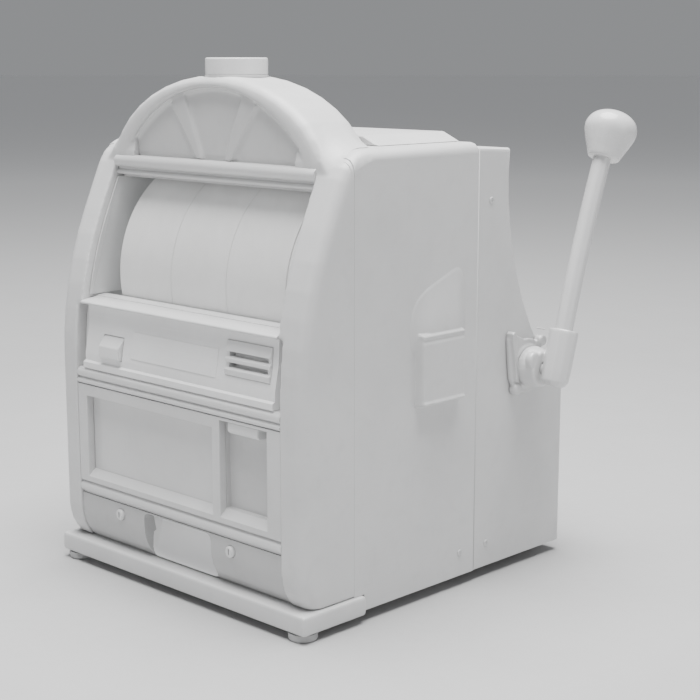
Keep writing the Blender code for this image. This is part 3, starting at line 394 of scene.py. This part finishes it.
def make_light(name, spot, aim, size, power):
    """Round area light turned towards a point."""
    data = bpy.data.lights.new(name, "AREA")
    data.shape = "DISK"
    data.size = size
    data.energy = power
    item = bpy.data.objects.new(name, data)
    item.location = spot
    item.rotation_euler = (Vector(aim) - Vector(spot)).to_track_quat("-Z", "Y").to_euler()
    bpy.context.scene.collection.objects.link(item)


def make_lights():
    """Soft light from above with two weak lights at the front and the right."""
    world = bpy.data.worlds.new("studio")
    world.use_nodes = True
    backdrop = world.node_tree.nodes["Background"]
    backdrop.inputs["Color"].default_value = (0.95, 0.97, 1.0, 1.0)
    backdrop.inputs["Strength"].default_value = 0.30
    bpy.context.scene.world = world
    middle = (0.0, 0.0, 0.3)
    make_light("overhead", (0.1, -0.1, 3.2), middle, 2.8, 330.0)
    make_light("front_softbox", (0.4, -2.8, 0.9), middle, 1.8, 9.0)
    make_light("side_softbox", (2.8, 0.2, 0.9), middle, 1.8, 9.0)


CAMERA_AT = (1.29916, -1.32754, 0.62324)
CAMERA_AZIMUTH = radians(44.3)
CAMERA_PITCH = radians(10.9)
CAMERA_LENS = 78.53             # in millimetres, for a 36 mm sensor


def make_camera():
    """Camera matched to the photo's vanishing points."""
    data = bpy.data.cameras.new("camera")
    data.lens = CAMERA_LENS
    data.sensor_width = 36.0
    data.clip_end = 50.0
    item = bpy.data.objects.new("camera", data)
    item.location = CAMERA_AT
    look = Vector((-sin(CAMERA_AZIMUTH) * cos(CAMERA_PITCH), cos(CAMERA_AZIMUTH) * cos(CAMERA_PITCH),
                   -sin(CAMERA_PITCH)))
    item.rotation_euler = look.to_track_quat("-Z", "Y").to_euler()
    bpy.context.scene.collection.objects.link(item)
    bpy.context.scene.camera = item


# ---------------------------------------------------------------- front casting and crown
DOOR_SEAM = 0.0825              # depth of the joint between door and cabinet
BODY_TOP = 0.5150
CROWN_HALF = 0.1880
CROWN_RISE = 0.1196
CROWN_SPRING = 0.471
SHOULDER_CENTRE = (0.1126, 0.4651)      # depth and height of the shoulder's arc
SHOULDER_RADIUS = 0.050
SHOULDER_AIR = 0.0005           # between the crown and the cabinet under it
ARCH_RADIUS = 0.198
ARCH_CENTRE = 0.380
PANEL_LOW = 0.4956              # foot of the sunburst panel
PANEL_FRONT = 0.0753
PANEL_HALF = 0.1605             # half width of the sunburst panel at its foot
FRONT_Y = 0.0030                # upright part of the front face
LEAN_START, LEAN_END = 0.250, 0.430
LEAN_ANGLE = radians(23.75)
LEAN_RADIUS = (LEAN_END - LEAN_START) / sin(LEAN_ANGLE)
WINDOW_FOOT, WINDOW_HEAD = 0.3275, 0.4680
WINDOW_HALF = 0.1740
OPEN_HALF = 0.1815
PANEL_FOOT, PANEL_HEAD = 0.2400, 0.3172
FILLET_FOOT = 0.1985            # half width at which the shoulder is still flat
FILLET_ROOT = 0.140             # half width well inside the crown's wall
FILLET_BACK = 0.1400            # depth at which the fillet has run out
FILLET_STATIONS = (0.0668, 0.0700, 0.0740, 0.0790, 0.0822, 0.0850, 0.0920, 0.1020, 0.1130, 0.1250, FILLET_BACK)
SUNK = 0.0045                   # how far the fillet reaches into the shoulder before it is trimmed
CARRY = 0.005                   # how far the casting is carried on before it is trimmed


def front_y(z):
    """Depth of the door's face at a height above the tuck."""
    if z <= LEAN_START:
        return FRONT_Y
    if z <= LEAN_END:
        return FRONT_Y + LEAN_RADIUS - sqrt(LEAN_RADIUS ** 2 - (z - LEAN_START) ** 2)
    return front_y(LEAN_END) + (z - LEAN_END) * sin(LEAN_ANGLE) / cos(LEAN_ANGLE)


def crown_reach(z):
    """Half width of the crown at a height."""
    return CROWN_HALF * sqrt(max(0.0, 1 - ((z - CROWN_SPRING) / CROWN_RISE) ** 2))


def shoulder_height(y):
    """Height of the rounded shoulder and the flat top behind it."""
    if y >= SHOULDER_CENTRE[0]:
        return BODY_TOP
    return SHOULDER_CENTRE[1] + sqrt(SHOULDER_RADIUS ** 2 - (SHOULDER_CENTRE[0] - y) ** 2)


def add_fillet(bm, side):
    """Hollow-faced fillet between the crown's side and the shoulder below it."""
    rings = []
    for y in FILLET_STATIONS:
        base = shoulder_height(y)
        reach = min(0.024, 0.015 + 1.3 * (y - FILLET_STATIONS[0]), 0.008 + 1.5 * (FILLET_BACK - y))
        root = crown_reach(base) - 0.001
        foot = min(root + 0.95 * reach, FILLET_FOOT)
        ring = [(FILLET_ROOT, base - SUNK), (FILLET_ROOT, base + reach)]
        for i in range(7):
            turn = radians(90 * i / 6)
            up = reach * (1 - sin(turn))
            out = (foot - root) * (1 - cos(turn))
            ring.append((crown_reach(base + up) - 0.001 + out, base + up + 0.0008))
        ring.append((ring[-1][0], base - SUNK))
        rings.append([bm.verts.new(place(side * x, y, z)) for x, z in ring])
    faces = [bm.faces.new(rings[0]), bm.faces.new(rings[-1])]
    for first, second in zip(rings, rings[1:]):
        for i in range(len(first)):
            j = (i + 1) % len(first)
            faces.append(bm.faces.new((first[i], first[j], second[j], second[i])))
    bmesh.ops.recalc_face_normals(bm, faces=faces)


def add_return(bm, side, inner, foot, head):
    """Flange that turns back from the edge of an opening."""
    heights = [foot + (head - foot) * i / 8 for i in range(9)]
    outline = [(front_y(z) + 0.003, z) for z in heights] + [(front_y(z) + 0.028, z) for z in heights[::-1]]
    join_in(bm, slab(outline, *sorted((side * inner, side * (inner + 0.006))), plane="YZ"))


def carry_on(bm):
    """Carry the back rim and the underside of the crown past the joint."""
    near, underside, corner = 0.0003, 0.0012, 0.0160
    for vert in bm.verts:
        y = vert.co.y - ORIGIN.y
        if y < DOOR_SEAM - near:
            continue
        above = vert.co.z - ORIGIN.z - shoulder_height(y)
        if y < DOOR_SEAM + near and above < underside:
            vert.co.y += CARRY
            if above > -corner:
                vert.co.z += shoulder_height(y + CARRY) - shoulder_height(y)
        elif 0 < above < underside:
            vert.co.z -= CARRY


def behind_door():
    """Everything behind the door joint and under the cabinet's shoulder."""
    depths = [DOOR_SEAM + (SHOULDER_CENTRE[0] - DOOR_SEAM) * i / 24 for i in range(25)]
    outline = [(y, shoulder_height(y) + SHOULDER_AIR) for y in depths]
    outline += [(0.300, BODY_TOP + SHOULDER_AIR), (0.300, -0.050), (DOOR_SEAM, -0.050)]
    return slab(outline, -0.260, 0.260, "YZ")


def make_front_casting():
    """The door casting with its crown run softly into the shoulders."""
    bm = welded_copy("front_casting")
    carry_on(bm)
    for side in (-1, 1):
        add_fillet(bm, side)
        add_return(bm, side, WINDOW_HALF, WINDOW_FOOT - 0.0100, WINDOW_HEAD + 0.010)
        add_return(bm, side, OPEN_HALF + 0.0004, PANEL_FOOT - 0.1400, PANEL_HEAD)
    mesh = cut_away(remoulded(bm, 0.0020, 5), behind_door())
    item = new_piece("door_casting", mesh, "front_door", "satin_paint")
    mesh.set_sharp_from_angle(angle=radians(50))
    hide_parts("front_casting")


def panel_arch(radius):
    """The arch over the sunburst, from its right foot to its left foot."""
    first = acos(PANEL_HALF / radius)
    turns = [first + (pi - 2 * first) * i / 48 for i in range(49)]
    return [(radius * cos(a), ARCH_CENTRE + radius * sin(a)) for a in turns]


def make_sunburst():
    """Arched panel with two raised rays and a dished border, pressed as one sheet."""
    low = PANEL_LOW
    edge = ARCH_RADIUS + 0.002
    bm = slab(panel_arch(edge), PANEL_FRONT, PANEL_FRONT + 0.0032)
    join_in(bm, slab([(-0.166, 0.4850), (0.166, 0.4850), (0.166, low + 0.002), (-0.166, low + 0.002)],
                     PANEL_FRONT + 0.0010, PANEL_FRONT + 0.0042))
    for side in (-1, 1):
        ray = [(side * 0.0190, low), (side * 0.0300, low), (side * 0.0740, 0.5580), (side * 0.0500, 0.5690)]
        join_in(bm, slab(ray, PANEL_FRONT - 0.0038, PANEL_FRONT + 0.002))
    border = panel_arch(edge) + panel_arch(edge - 0.0045)[::-1]
    join_in(bm, slab(border, PANEL_FRONT - 0.0040, PANEL_FRONT + 0.002))
    item = new_piece("sunburst_sheet", remoulded(bm, 0.0014, 14), "front_door", "award_glass")
    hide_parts("sunburst_panel")


def make_header():
    """Web between the two cross bars and the ceiling strip over the reels."""
    reach = WINDOW_HALF - 0.0006
    web = [(0.0712, 0.4745), (0.0702, 0.4765), (0.0700, 0.4800), (0.0710, 0.4820), (0.0756, 0.4830),
           (0.0756, 0.4728), (0.0718, 0.4728)]
    soften(new_piece("bar_web", slab(web, -reach, reach, "YZ"), "front_door", "satin_paint"), 0.0004, 40)
    ceiling = [(0.0758, 0.4680), (0.1040, 0.4715), (0.1040, 0.4740), (0.0760, 0.4860), (0.0758, 0.4860)]
    soften(new_piece("window_ceiling", slab(ceiling, -0.1710, 0.1710, "YZ"), "front_door", "inset_paint"),
           0.0004, 40)


# ---------------------------------------------------------------- payout mouth
MOUTH_LEFT, MOUTH_RIGHT = -0.0602, 0.0627
MOUTH_TOP = 0.0800
SCOOP_CORNER = 0.010
SCOOP_PATH = ((0.0186, 0.0234), (0.0203, 0.0240), (0.0232, 0.0270), (0.0272, 0.0345), (0.0310, 0.0435),
              (0.0340, 0.0540), (0.0362, 0.0650), (0.0376, 0.0740), (0.0382, MOUTH_TOP))


def make_payout_scoop():
    """Bowl that rises from the mouth's lower lip to its upper edge, with filleted sides."""
    bm = bmesh.new()
    rows = []
    for y, z in SCOOP_PATH:
        radius = min(SCOOP_CORNER, (MOUTH_TOP - z) * 0.9 + 0.0005)
        points = [(MOUTH_LEFT, MOUTH_TOP)]
        for i in range(7):
            turn = radians(90 * i / 6)
            points.append((MOUTH_LEFT + radius * (1 - cos(turn)), z + radius * (1 - sin(turn))))
        points += [(MOUTH_LEFT + (MOUTH_RIGHT - MOUTH_LEFT) * i / 8, z) for i in range(2, 7)]
        for i in range(7):
            turn = radians(90 * (6 - i) / 6)
            points.append((MOUTH_RIGHT - radius * (1 - cos(turn)), z + radius * (1 - sin(turn))))
        points.append((MOUTH_RIGHT, MOUTH_TOP))
        rows.append([bm.verts.new(place(x, y, height)) for x, height in points])
    for low, high in zip(rows, rows[1:]):
        for i in range(len(low) - 1):
            bm.faces.new((low[i], low[i + 1], high[i + 1], high[i]))
    bmesh.ops.recalc_face_normals(bm, faces=bm.faces)
    # The scoop takes the near-white steel that paints light into the mouth.
    item = new_piece("payout_scoop", bm, "front_door", "bright_trim", MAT["tray_painted_light"])
    shell = item.modifiers.new("shell", "SOLIDIFY")
    shell.thickness = 0.0014
    shell.offset = 0.0
    even = item.modifiers.new("smooth", "SUBSURF")
    even.levels = even.render_levels = 1
    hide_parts("payout_tray")


def make_window_floor():
    """Ledge that carries the sill back to the foot of the reels."""
    outline = [(0.0300, 0.3255), (0.0425, 0.3267), (0.0462, 0.3262), (0.0462, 0.3190), (0.0300, 0.3190)]
    item = new_piece("window_floor", slab(outline, -0.1735, 0.1735, "YZ"), "front_door", "bright_trim")
    soften(item, 0.0004, 40)


def make_gasket():
    """Pale weatherstrip set just inside the joint between door and cabinet."""
    foot, head = 0.0240, shoulder_height(0.0810) - 0.0012
    outer, inner = 0.2141, 0.2095
    corner = 0.0120
    path = [(outer, foot)]
    for i in range(7):
        turn = radians(90 * i / 6)
        path.append((outer - corner + corner * cos(turn), head - corner + corner * sin(turn)))
    path += [(-x, z) for x, z in path[::-1]]
    back = [(-inner, foot), (-inner, head - 0.0060), (inner, head - 0.0060), (inner, foot)]
    item = new_piece("door_gasket", slab(path + back, 0.0790, 0.0825), "front_door", "satin_paint")
    soften(item, 0.0003, 50)


# ---------------------------------------------------------------- coin entry and button panel
def make_coin_flaps():
    """Pale sprung flaps a little way inside the two coin slits."""
    for name, height in (("upper", 0.2910), ("lower", 0.2790)):
        outline = [(0.0190, height - 0.0030), (0.0215, height + 0.0030), (0.0225, height + 0.0030),
                   (0.0200, height - 0.0030)]
        soften(new_piece("coin_flap_" + name, slab(outline, 0.0935, 0.1535, "YZ"), "front_door", "bright_trim"),
               0.0003)


def make_button_cap():
    """Wedge-shaped push button with a broad sloping top."""
    low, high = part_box("spin_button")
    left, right = low.x - ORIGIN.x, high.x - ORIGIN.x
    foot, head = low.z - ORIGIN.z, high.z - ORIGIN.z
    outline = [(0.0052, foot), (0.0028, foot + 0.0012), (0.0024, foot + 0.0030), (0.0034, head - 0.0125),
               (0.0040, head - 0.0115), (0.0128, head - 0.0008), (0.0150, head), (0.0255, head), (0.0255, foot)]
    item = new_piece("button_cap", slab(outline, left, right, "YZ"), "spin_button", "moulded_plastic")
    soften(item, 0.0011, 25)
    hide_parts("spin_button")


def make_blank_plate():
    """Low raised plate in the middle of the button panel."""
    heights = [0.2615, 0.2660, 0.2720, 0.2780, 0.2840, 0.2890, 0.2930]
    face = [(0.0083, 0.2580), (0.0105, 0.2700), (0.0135, 0.2850), (0.0150, 0.3000)]

    def depth(z):
        for (y0, z0), (y1, z1) in zip(face, face[1:]):
            if z <= z1:
                return y0 + (y1 - y0) * (z - z0) / (z1 - z0)
        return face[-1][0]

    outline = [(depth(z) - 0.0009, z) for z in heights] + [(depth(z) + 0.0006, z) for z in heights[::-1]]
    bm = slab(outline, -0.0800, 0.0720, "YZ")
    # The plate takes the paler copy of the paint, as painted light.
    soften(new_piece("blank_plate", bm, "front_door", "inset_paint", MAT["panel_painted_light"]), 0.0006, 25)


# ---------------------------------------------------------------- reels
def make_reels():
    """Drums turned as hollow rings with slightly rounded rims, in the reel strip's finish."""
    for name in ("reel_1", "reel_2", "reel_3"):
        low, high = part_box(name)
        radius = (high.z - low.z) / 2
        centre = (low + high) / 2
        half = (high.x - low.x) / 2 + 0.0005
        inner = radius - 0.004
        profile = [(inner, -half), (radius - 0.0004, -half), (radius, -half + 0.0004), (radius, half - 0.0004),
                   (radius - 0.0004, half), (inner, half), (inner, -half)]
        item = new_piece(name + "_drum", lathe(profile, centre, "X", 180), name, "reel_strip")
        soften(item, 0.0002, 50)
        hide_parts(name)


def make_reel_mask():
    """Fixed curved strip that fills the space between the right reel and the cabinet's cheek."""
    low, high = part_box("reel_3")
    centre = (low + high) / 2 - ORIGIN
    radius = (high.z - low.z) / 2 - 0.0012
    turns = [radians(110 + 130 * i / 60) for i in range(61)]
    outline = [(centre.y + radius * cos(t), centre.z + radius * sin(t)) for t in turns]
    inner = radius - 0.002
    outline += [(centre.y + inner * cos(t), centre.z + inner * sin(t)) for t in turns[::-1]]
    mask = slab(outline, high.x - ORIGIN.x + 0.0012, 0.1706, "YZ")
    item = new_piece("reel_mask", mask, "cabinet", "reel_strip")
    soften(item, 0.0003, 50)


# ---------------------------------------------------------------- lever
LEVER_X, LEVER_Y, LEVER_Z = 0.264, 0.380, 0.242
KNOB_LEAN = 0.3977              # lean of the knob's axis, in radians
KNOB_FOOT = 0.4820              # height of the knob's foot on the rod
ROD_FOOT = 0.302                # height at which the rod leaves the socket
ROD_FOOT_DEPTH = 0.3955
ROD_RADIUS = 0.0108
ROD_SLOPE, ROD_BOW = 0.29, 0.2727       # lean of the rod and how much it bends backwards
SOCKET_LEAN = 0.2758            # lean of the socket's axis, in radians
LEVER_WALL = 0.2140             # face that the lever's wall plate stands on


def rod_depth(z):
    """Depth of the rod's centreline at a height."""
    return ROD_FOOT_DEPTH + ROD_SLOPE * (z - ROD_FOOT) + ROD_BOW * (z - ROD_FOOT) ** 2


def make_knob():
    """Pear-shaped knob: a broad flattened crown on a tapering body with a flat foot."""
    profile = [(0, 0.0092), (0.0165, 0.0092), (0.0188, 0.0098), (0.0200, 0.0120), (0.0222, 0.0180),
               (0.0256, 0.0260), (0.0292, 0.0345), (0.0316, 0.0415), (0.0321, 0.0475), (0.0306, 0.0540),
               (0.0270, 0.0600), (0.0205, 0.0652), (0.0110, 0.0686), (0, 0.0694)]
    seat = place(LEVER_X, rod_depth(KNOB_FOOT + 0.001) + 0.0012, KNOB_FOOT)
    bm = lathe(profile, seat, "Z", 48, Matrix.Rotation(-KNOB_LEAN, 4, "X"))
    item = new_piece("lever_ball", bm, "lever", "knob_plastic")
    smooth = item.modifiers.new("smooth", "SUBSURF")
    smooth.levels = smooth.render_levels = 1
    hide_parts("lever_knob")


def make_rod():
    """Gently bowed rod, swept as one tube."""
    steps, around = 40, 32
    low, high = 0.2900, 0.4950
    rings = []
    bm = bmesh.new()
    for i in range(steps + 1):
        z = low + (high - low) * i / steps
        slope = ROD_SLOPE + 2 * ROD_BOW * (z - ROD_FOOT)
        along = Vector((0, slope, 1)).normalized()
        side = Vector((0, along.z, -along.y))
        radius = ROD_RADIUS - (0.0004 if i in (0, steps) else 0.0)
        middle = place(LEVER_X, rod_depth(z), z)
        turns = [2 * pi * k / around for k in range(around)]
        spokes = [cos(t) * Vector((1, 0, 0)) + sin(t) * side for t in turns]
        rings.append([bm.verts.new(middle + radius * spoke) for spoke in spokes])
    for first, second in zip(rings, rings[1:]):
        for k in range(around):
            m = (k + 1) % around
            bm.faces.new((first[k], first[m], second[m], second[k]))
    bm.faces.new(rings[0])
    bm.faces.new(rings[-1])
    bmesh.ops.recalc_face_normals(bm, faces=bm.faces)
    item = new_piece("lever_bar", bm, "lever", "plain_steel")
    soften(item, 0.0003, 60)
    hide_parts("lever_rod")


def make_knuckle():
    """Socket and hub forged as one piece, with the set screw's boss on the side."""
    bm = welded_copy("lever_hub")
    lean = Matrix.Rotation(-SOCKET_LEAN, 4, "X")
    body = [(0, -0.0190), (0.0120, -0.0190), (0.0165, -0.0130), (0.0174, 0), (0.0178, 0.0460), (0.0172, 0.0497),
            (0, 0.0497)]
    join_in(bm, lathe(body, place(LEVER_X, LEVER_Y - 0.0005, LEVER_Z), "Z", 10, lean))
    boss = [(0, 0.0), (0.0105, 0.0), (0.0105, 0.0065), (0.0085, 0.0085), (0, 0.0085)]
    join_in(bm, lathe(boss, place(0.2370, LEVER_Y - 0.0170, LEVER_Z + 0.0120), "X", 20))
    item = new_piece("lever_knuckle", remoulded(bm, 0.0012, 5), "lever", "bright_trim")
    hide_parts("lever_socket", "lever_hub")


def make_escutcheon():
    """Cast wall plate with an upright ear, a rib and two bolt heads."""
    bm = welded_copy("lever_escutcheon")
    wall = LEVER_WALL
    join_in(bm, lathe([(0.0150, 0), (0.0315, 0), (0.0300, 0.0040), (0.0250, 0.0080), (0.0190, 0.0086),
                       (0.0150, 0.0086), (0.0150, 0)], place(wall, LEVER_Y, LEVER_Z), "X", 40))
    rib = [(0.3530, 0.2280), (0.3600, 0.2300), (0.3560, 0.2560), (0.3525, 0.2840), (0.3485, 0.2885),
           (0.3445, 0.2860), (0.3450, 0.2760), (0.3500, 0.2500)]
    join_in(bm, slab(rib, wall, wall + 0.0110, "YZ"))
    pin = [(0, 0), (0.0013, 0), (0.0013, 0.0130), (0, 0.0132)]
    join_in(bm, lathe(pin, place(wall, 0.4040, 0.2850), "X", 12))
    for y, z in ((0.3590, 0.2160), (0.4060, 0.2700)):
        head = [(0, 0), (0.0075, 0), (0.0075, 0.0080), (0.0055, 0.0105), (0, 0.0110)]
        join_in(bm, lathe(head, place(wall, y, z), "X", 20))
    item = new_piece("lever_plate", remoulded(bm, 0.0011, 6), "cabinet", "zinc_plate")
    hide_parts("lever_escutcheon")


# ---------------------------------------------------------------- outside of the cabinet
SIDE_WALL = 0.2153              # outer face of the cabinet's side
SHELL_WALL = SIDE_WALL - 0.0017         # outer face of the rear shell's side
SHELL_JOINT = 0.288             # depth of the joint between cabinet and rear shell
REAR_WALL = 0.4627              # outer face of the flat lower back
COVER_LOW = (0.1650, 0.2170)    # near lower corner of the side cover
COVER_SIZE = (0.1060, 0.1840)
COVER_CELLS = (106, 160)
COVER_SUNK = 0.0014             # how far the cover's border is let into the wall
SIDE_SCREWS = ((0.3137, 0.4470), (0.3137, 0.0310), (0.2627, 0.0310))
BACK_SCREWS = ((-0.200, 0.016), (0.200, 0.016), (-0.200, 0.188), (0.200, 0.188))
VENT_FOOT, VENT_PITCH = 0.0620, 0.0150
PLATE_LOW, PLATE_HIGH = (-0.0850, 0.0420), (-0.0350, 0.0700)
INLET_CENTRE = (-0.1465, 0.0560)
INLET_FLOOR = 0.4450            # depth of the socket's floor
HINGE_X = -0.2175


def step_up(value, low, high):
    """0 below low, 1 above high and a smooth curve between."""
    t = min(1.0, max(0.0, (value - low) / (high - low)))
    return t * t * (3 - 2 * t)


def cover_height(y, z):
    """How far the pressed side cover stands off the wall."""
    across = step_up(y, 0.1800, 0.1834) * (1 - step_up(y, 0.2520, 0.2575))
    box = 0.0118 * across * step_up(z, 0.2205, 0.2246) * (1 - step_up(z, 0.3035, 0.3085))
    broad = step_up(y, 0.1660, 0.2080) * (1 - step_up(y, 0.2440, 0.2700))
    skew = 0.3300 + 0.45 * (y - 0.1720)
    slope = 0.0085 * broad * step_up(z, 0.2700, 0.3040) * (1 - step_up(z, 0.3050, skew + 0.0220))
    lip = 0.0020 * across * exp(-((z - 0.2262) / 0.0018) ** 2)
    groove = 0.0014 * across * exp(-((z - 0.2985) / 0.0024) ** 2)
    return max(box + lip - groove, slope)


def make_side_cover():
    """Raised cover on the right side that runs out softly into the wall above it."""
    columns, rows = COVER_CELLS
    bm = bmesh.new()
    grid = []
    for j in range(rows + 1):
        z = COVER_LOW[1] + COVER_SIZE[1] * j / rows
        line = []
        for i in range(columns + 1):
            y = COVER_LOW[0] + COVER_SIZE[0] * i / columns
            height = cover_height(y, z)
            sunk = COVER_SUNK * (1 - step_up(height, 0.0, 0.0009))
            line.append(bm.verts.new(place(SIDE_WALL + height - sunk, y, z)))
        grid.append(line)
    for low, high in zip(grid, grid[1:]):
        for i in range(columns):
            bm.faces.new((low[i], low[i + 1], high[i + 1], high[i]))
    bmesh.ops.recalc_face_normals(bm, faces=bm.faces)
    item = new_piece("side_cover", bm, "cabinet", "satin_paint")
    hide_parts("side_box")


def make_rear_seam_shadow():
    """Thin grey strip painted as the shadow of the joint where the rear shell meets the cabinet."""
    outline = rounded((SHELL_JOINT + 0.0004, 0.0040), (SHELL_JOINT + 0.0024, 0.5070), 0.0006, 2)
    for side, label in ((1, "right"), (-1, "left")):
        faces = sorted((side * (SHELL_WALL - 0.0002), side * (SHELL_WALL + 0.0004)))
        strip = slab(outline, *faces, plane="YZ")
        # Painted shadow: a mid-grey strip on the walls along the joint.
        new_piece("rear_seam_shadow_" + label, strip, "cabinet", "foot_rubber", MAT["seam_shade"])


def make_screw(name, spot, axis, body, flip=False):
    """Pan-head screw with a round recess."""
    head = [(0, 0.0003), (0.0014, 0.0003), (0.0019, 0.0013), (0.0036, 0.0011), (0.0044, 0.0005), (0.0045, 0),
            (0, 0)]
    if flip:
        head = [(radius, -height) for radius, height in head]
    new_piece(name, lathe(head, place(*spot), axis, 24), body, "zinc_plate")


def make_screws():
    """Screws of the rear shell: three on each side and four at the back."""
    for side, label in ((1, "right"), (-1, "left")):
        for index, (y, z) in enumerate(SIDE_SCREWS):
            wall = SIDE_WALL if y < SHELL_JOINT else SHELL_WALL
            make_screw(f"side_screw_{label}_{index}", (side * wall, y, z), "X", "cabinet", side < 0)
    for index, (x, z) in enumerate(BACK_SCREWS):
        make_screw(f"back_screw_{index}", (x, REAR_WALL, z), "Y", "cabinet")


def make_vents():
    """Bank of pressed louvres, each over a near-black strip painted on the lower back as the shadow of its
    slot.
    """
    for index in range(7):
        z = VENT_FOOT + VENT_PITCH * index
        hood = [(REAR_WALL, z), (REAR_WALL + 0.0030, z + 0.0002), (REAR_WALL + 0.0036, z + 0.0016),
                (REAR_WALL + 0.0024, z + 0.0048), (REAR_WALL, z + 0.0085)]
        louvre = slab(hood, -0.010, 0.150, "YZ")
        soften(new_piece(f"louvre_{index}", louvre, "cabinet", "satin_paint"), 0.0008, 25)
        # Painted shadow: a thin near-black strip on the wall stands in for the open slot under each louvre.
        slot = rounded((-0.006, z - 0.0032), (0.146, z + 0.0002), 0.0015, 3)
        new_piece(f"louvre_slot_shadow_{index}", slab(slot, REAR_WALL - 0.0001, REAR_WALL + 0.0002), "cabinet",
                  "satin_paint", MAT["painted_slot_shadow"])


def make_rear_plate():
    """Blank rating plate with a rivet in each corner."""
    low, high = PLATE_LOW, PLATE_HIGH
    plate = slab(rounded(low, high, 0.002, 3), REAR_WALL, REAR_WALL + 0.0007)
    soften(new_piece("blank_rating_plate", plate, "cabinet", "zinc_plate"), 0.0002, 40)
    inset = 0.003
    corners = [(x, z) for z in (low[1] + inset, high[1] - inset) for x in (low[0] + inset, high[0] - inset)]
    rivet = [(0, 0.0013), (0.0007, 0.0012), (0.0012, 0.0008), (0.0014, 0), (0, 0)]
    for index, (x, z) in enumerate(corners):
        head = lathe(rivet, place(x, REAR_WALL + 0.0006, z), "Y", 16)
        new_piece(f"plate_rivet_{index}", head, "cabinet", "plain_steel")


def make_inlet_pins():
    """Three blades standing in the inlet socket."""
    for index, (across, rise) in enumerate(((-0.0070, -0.0012), (0.0, 0.0018), (0.0070, -0.0012))):
        x, z = INLET_CENTRE[0] + across, INLET_CENTRE[1] + rise
        outline = rounded((x - 0.0010, z - 0.0022), (x + 0.0010, z + 0.0022), 0.0006, 2)
        new_piece(f"inlet_pin_{index}", slab(outline, INLET_FLOOR - 0.0005, INLET_FLOOR + 0.0110), "cabinet",
                  "plain_steel")


def make_hinge_knuckles():
    """Barrels on the hinge pin, taking turns on the door and the cabinet."""
    barrel = [(0.0010, 0), (0.0023, 0), (0.00245, 0.0002), (0.00245, 0.0298), (0.0023, 0.0300),
              (0.0010, 0.0300), (0.0010, 0)]
    for index in range(6):
        z = 0.0700 + 0.0680 * index
        body = "front_door" if index % 2 else "cabinet"
        knuckle = lathe(barrel, place(HINGE_X, DOOR_SEAM, z), "Z", 24)
        new_piece(f"hinge_knuckle_{index}", knuckle, body, "plain_steel")


# ---------------------------------------------------------------- candle
def make_candle():
    """Squat frosted lamp turned as a hollow cap, with a slightly drawn-in foot and a rounded top edge."""
    low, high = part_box("candle_lens")
    centre = Vector(((low.x + high.x) / 2, (low.y + high.y) / 2, low.z))
    radius, tall = (high.x - low.x) / 2, high.z - low.z
    outer = [(radius * 0.985, 0), (radius, 0.0010), (radius, tall - 0.0022), (radius - 0.0006, tall - 0.0006),
             (radius - 0.0022, tall), (radius * 0.6, tall - 0.0004), (0, tall - 0.0006)]
    inner = [(0, tall - 0.0030), (radius - 0.0030, tall - 0.0032), (radius - 0.0034, 0), (radius * 0.985, 0)]
    item = new_piece("candle_cap", lathe(outer + inner, centre, "Z", 96), "front_door", "lens_plastic")
    soften(item, 0.0003, 40)
    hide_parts("candle_lens")


make_stage()
make_lights()
make_camera()
finish_cad_nodes()
make_front_casting()
make_sunburst()
make_header()
make_payout_scoop()
make_coin_flaps()
make_blank_plate()
make_window_floor()
make_gasket()
make_button_cap()
make_side_cover()
make_rear_seam_shadow()
make_screws()
make_vents()
make_rear_plate()
make_inlet_pins()
make_hinge_knuckles()
make_reels()
make_reel_mask()
make_knob()
make_rod()
make_knuckle()
make_escutcheon()
make_candle()
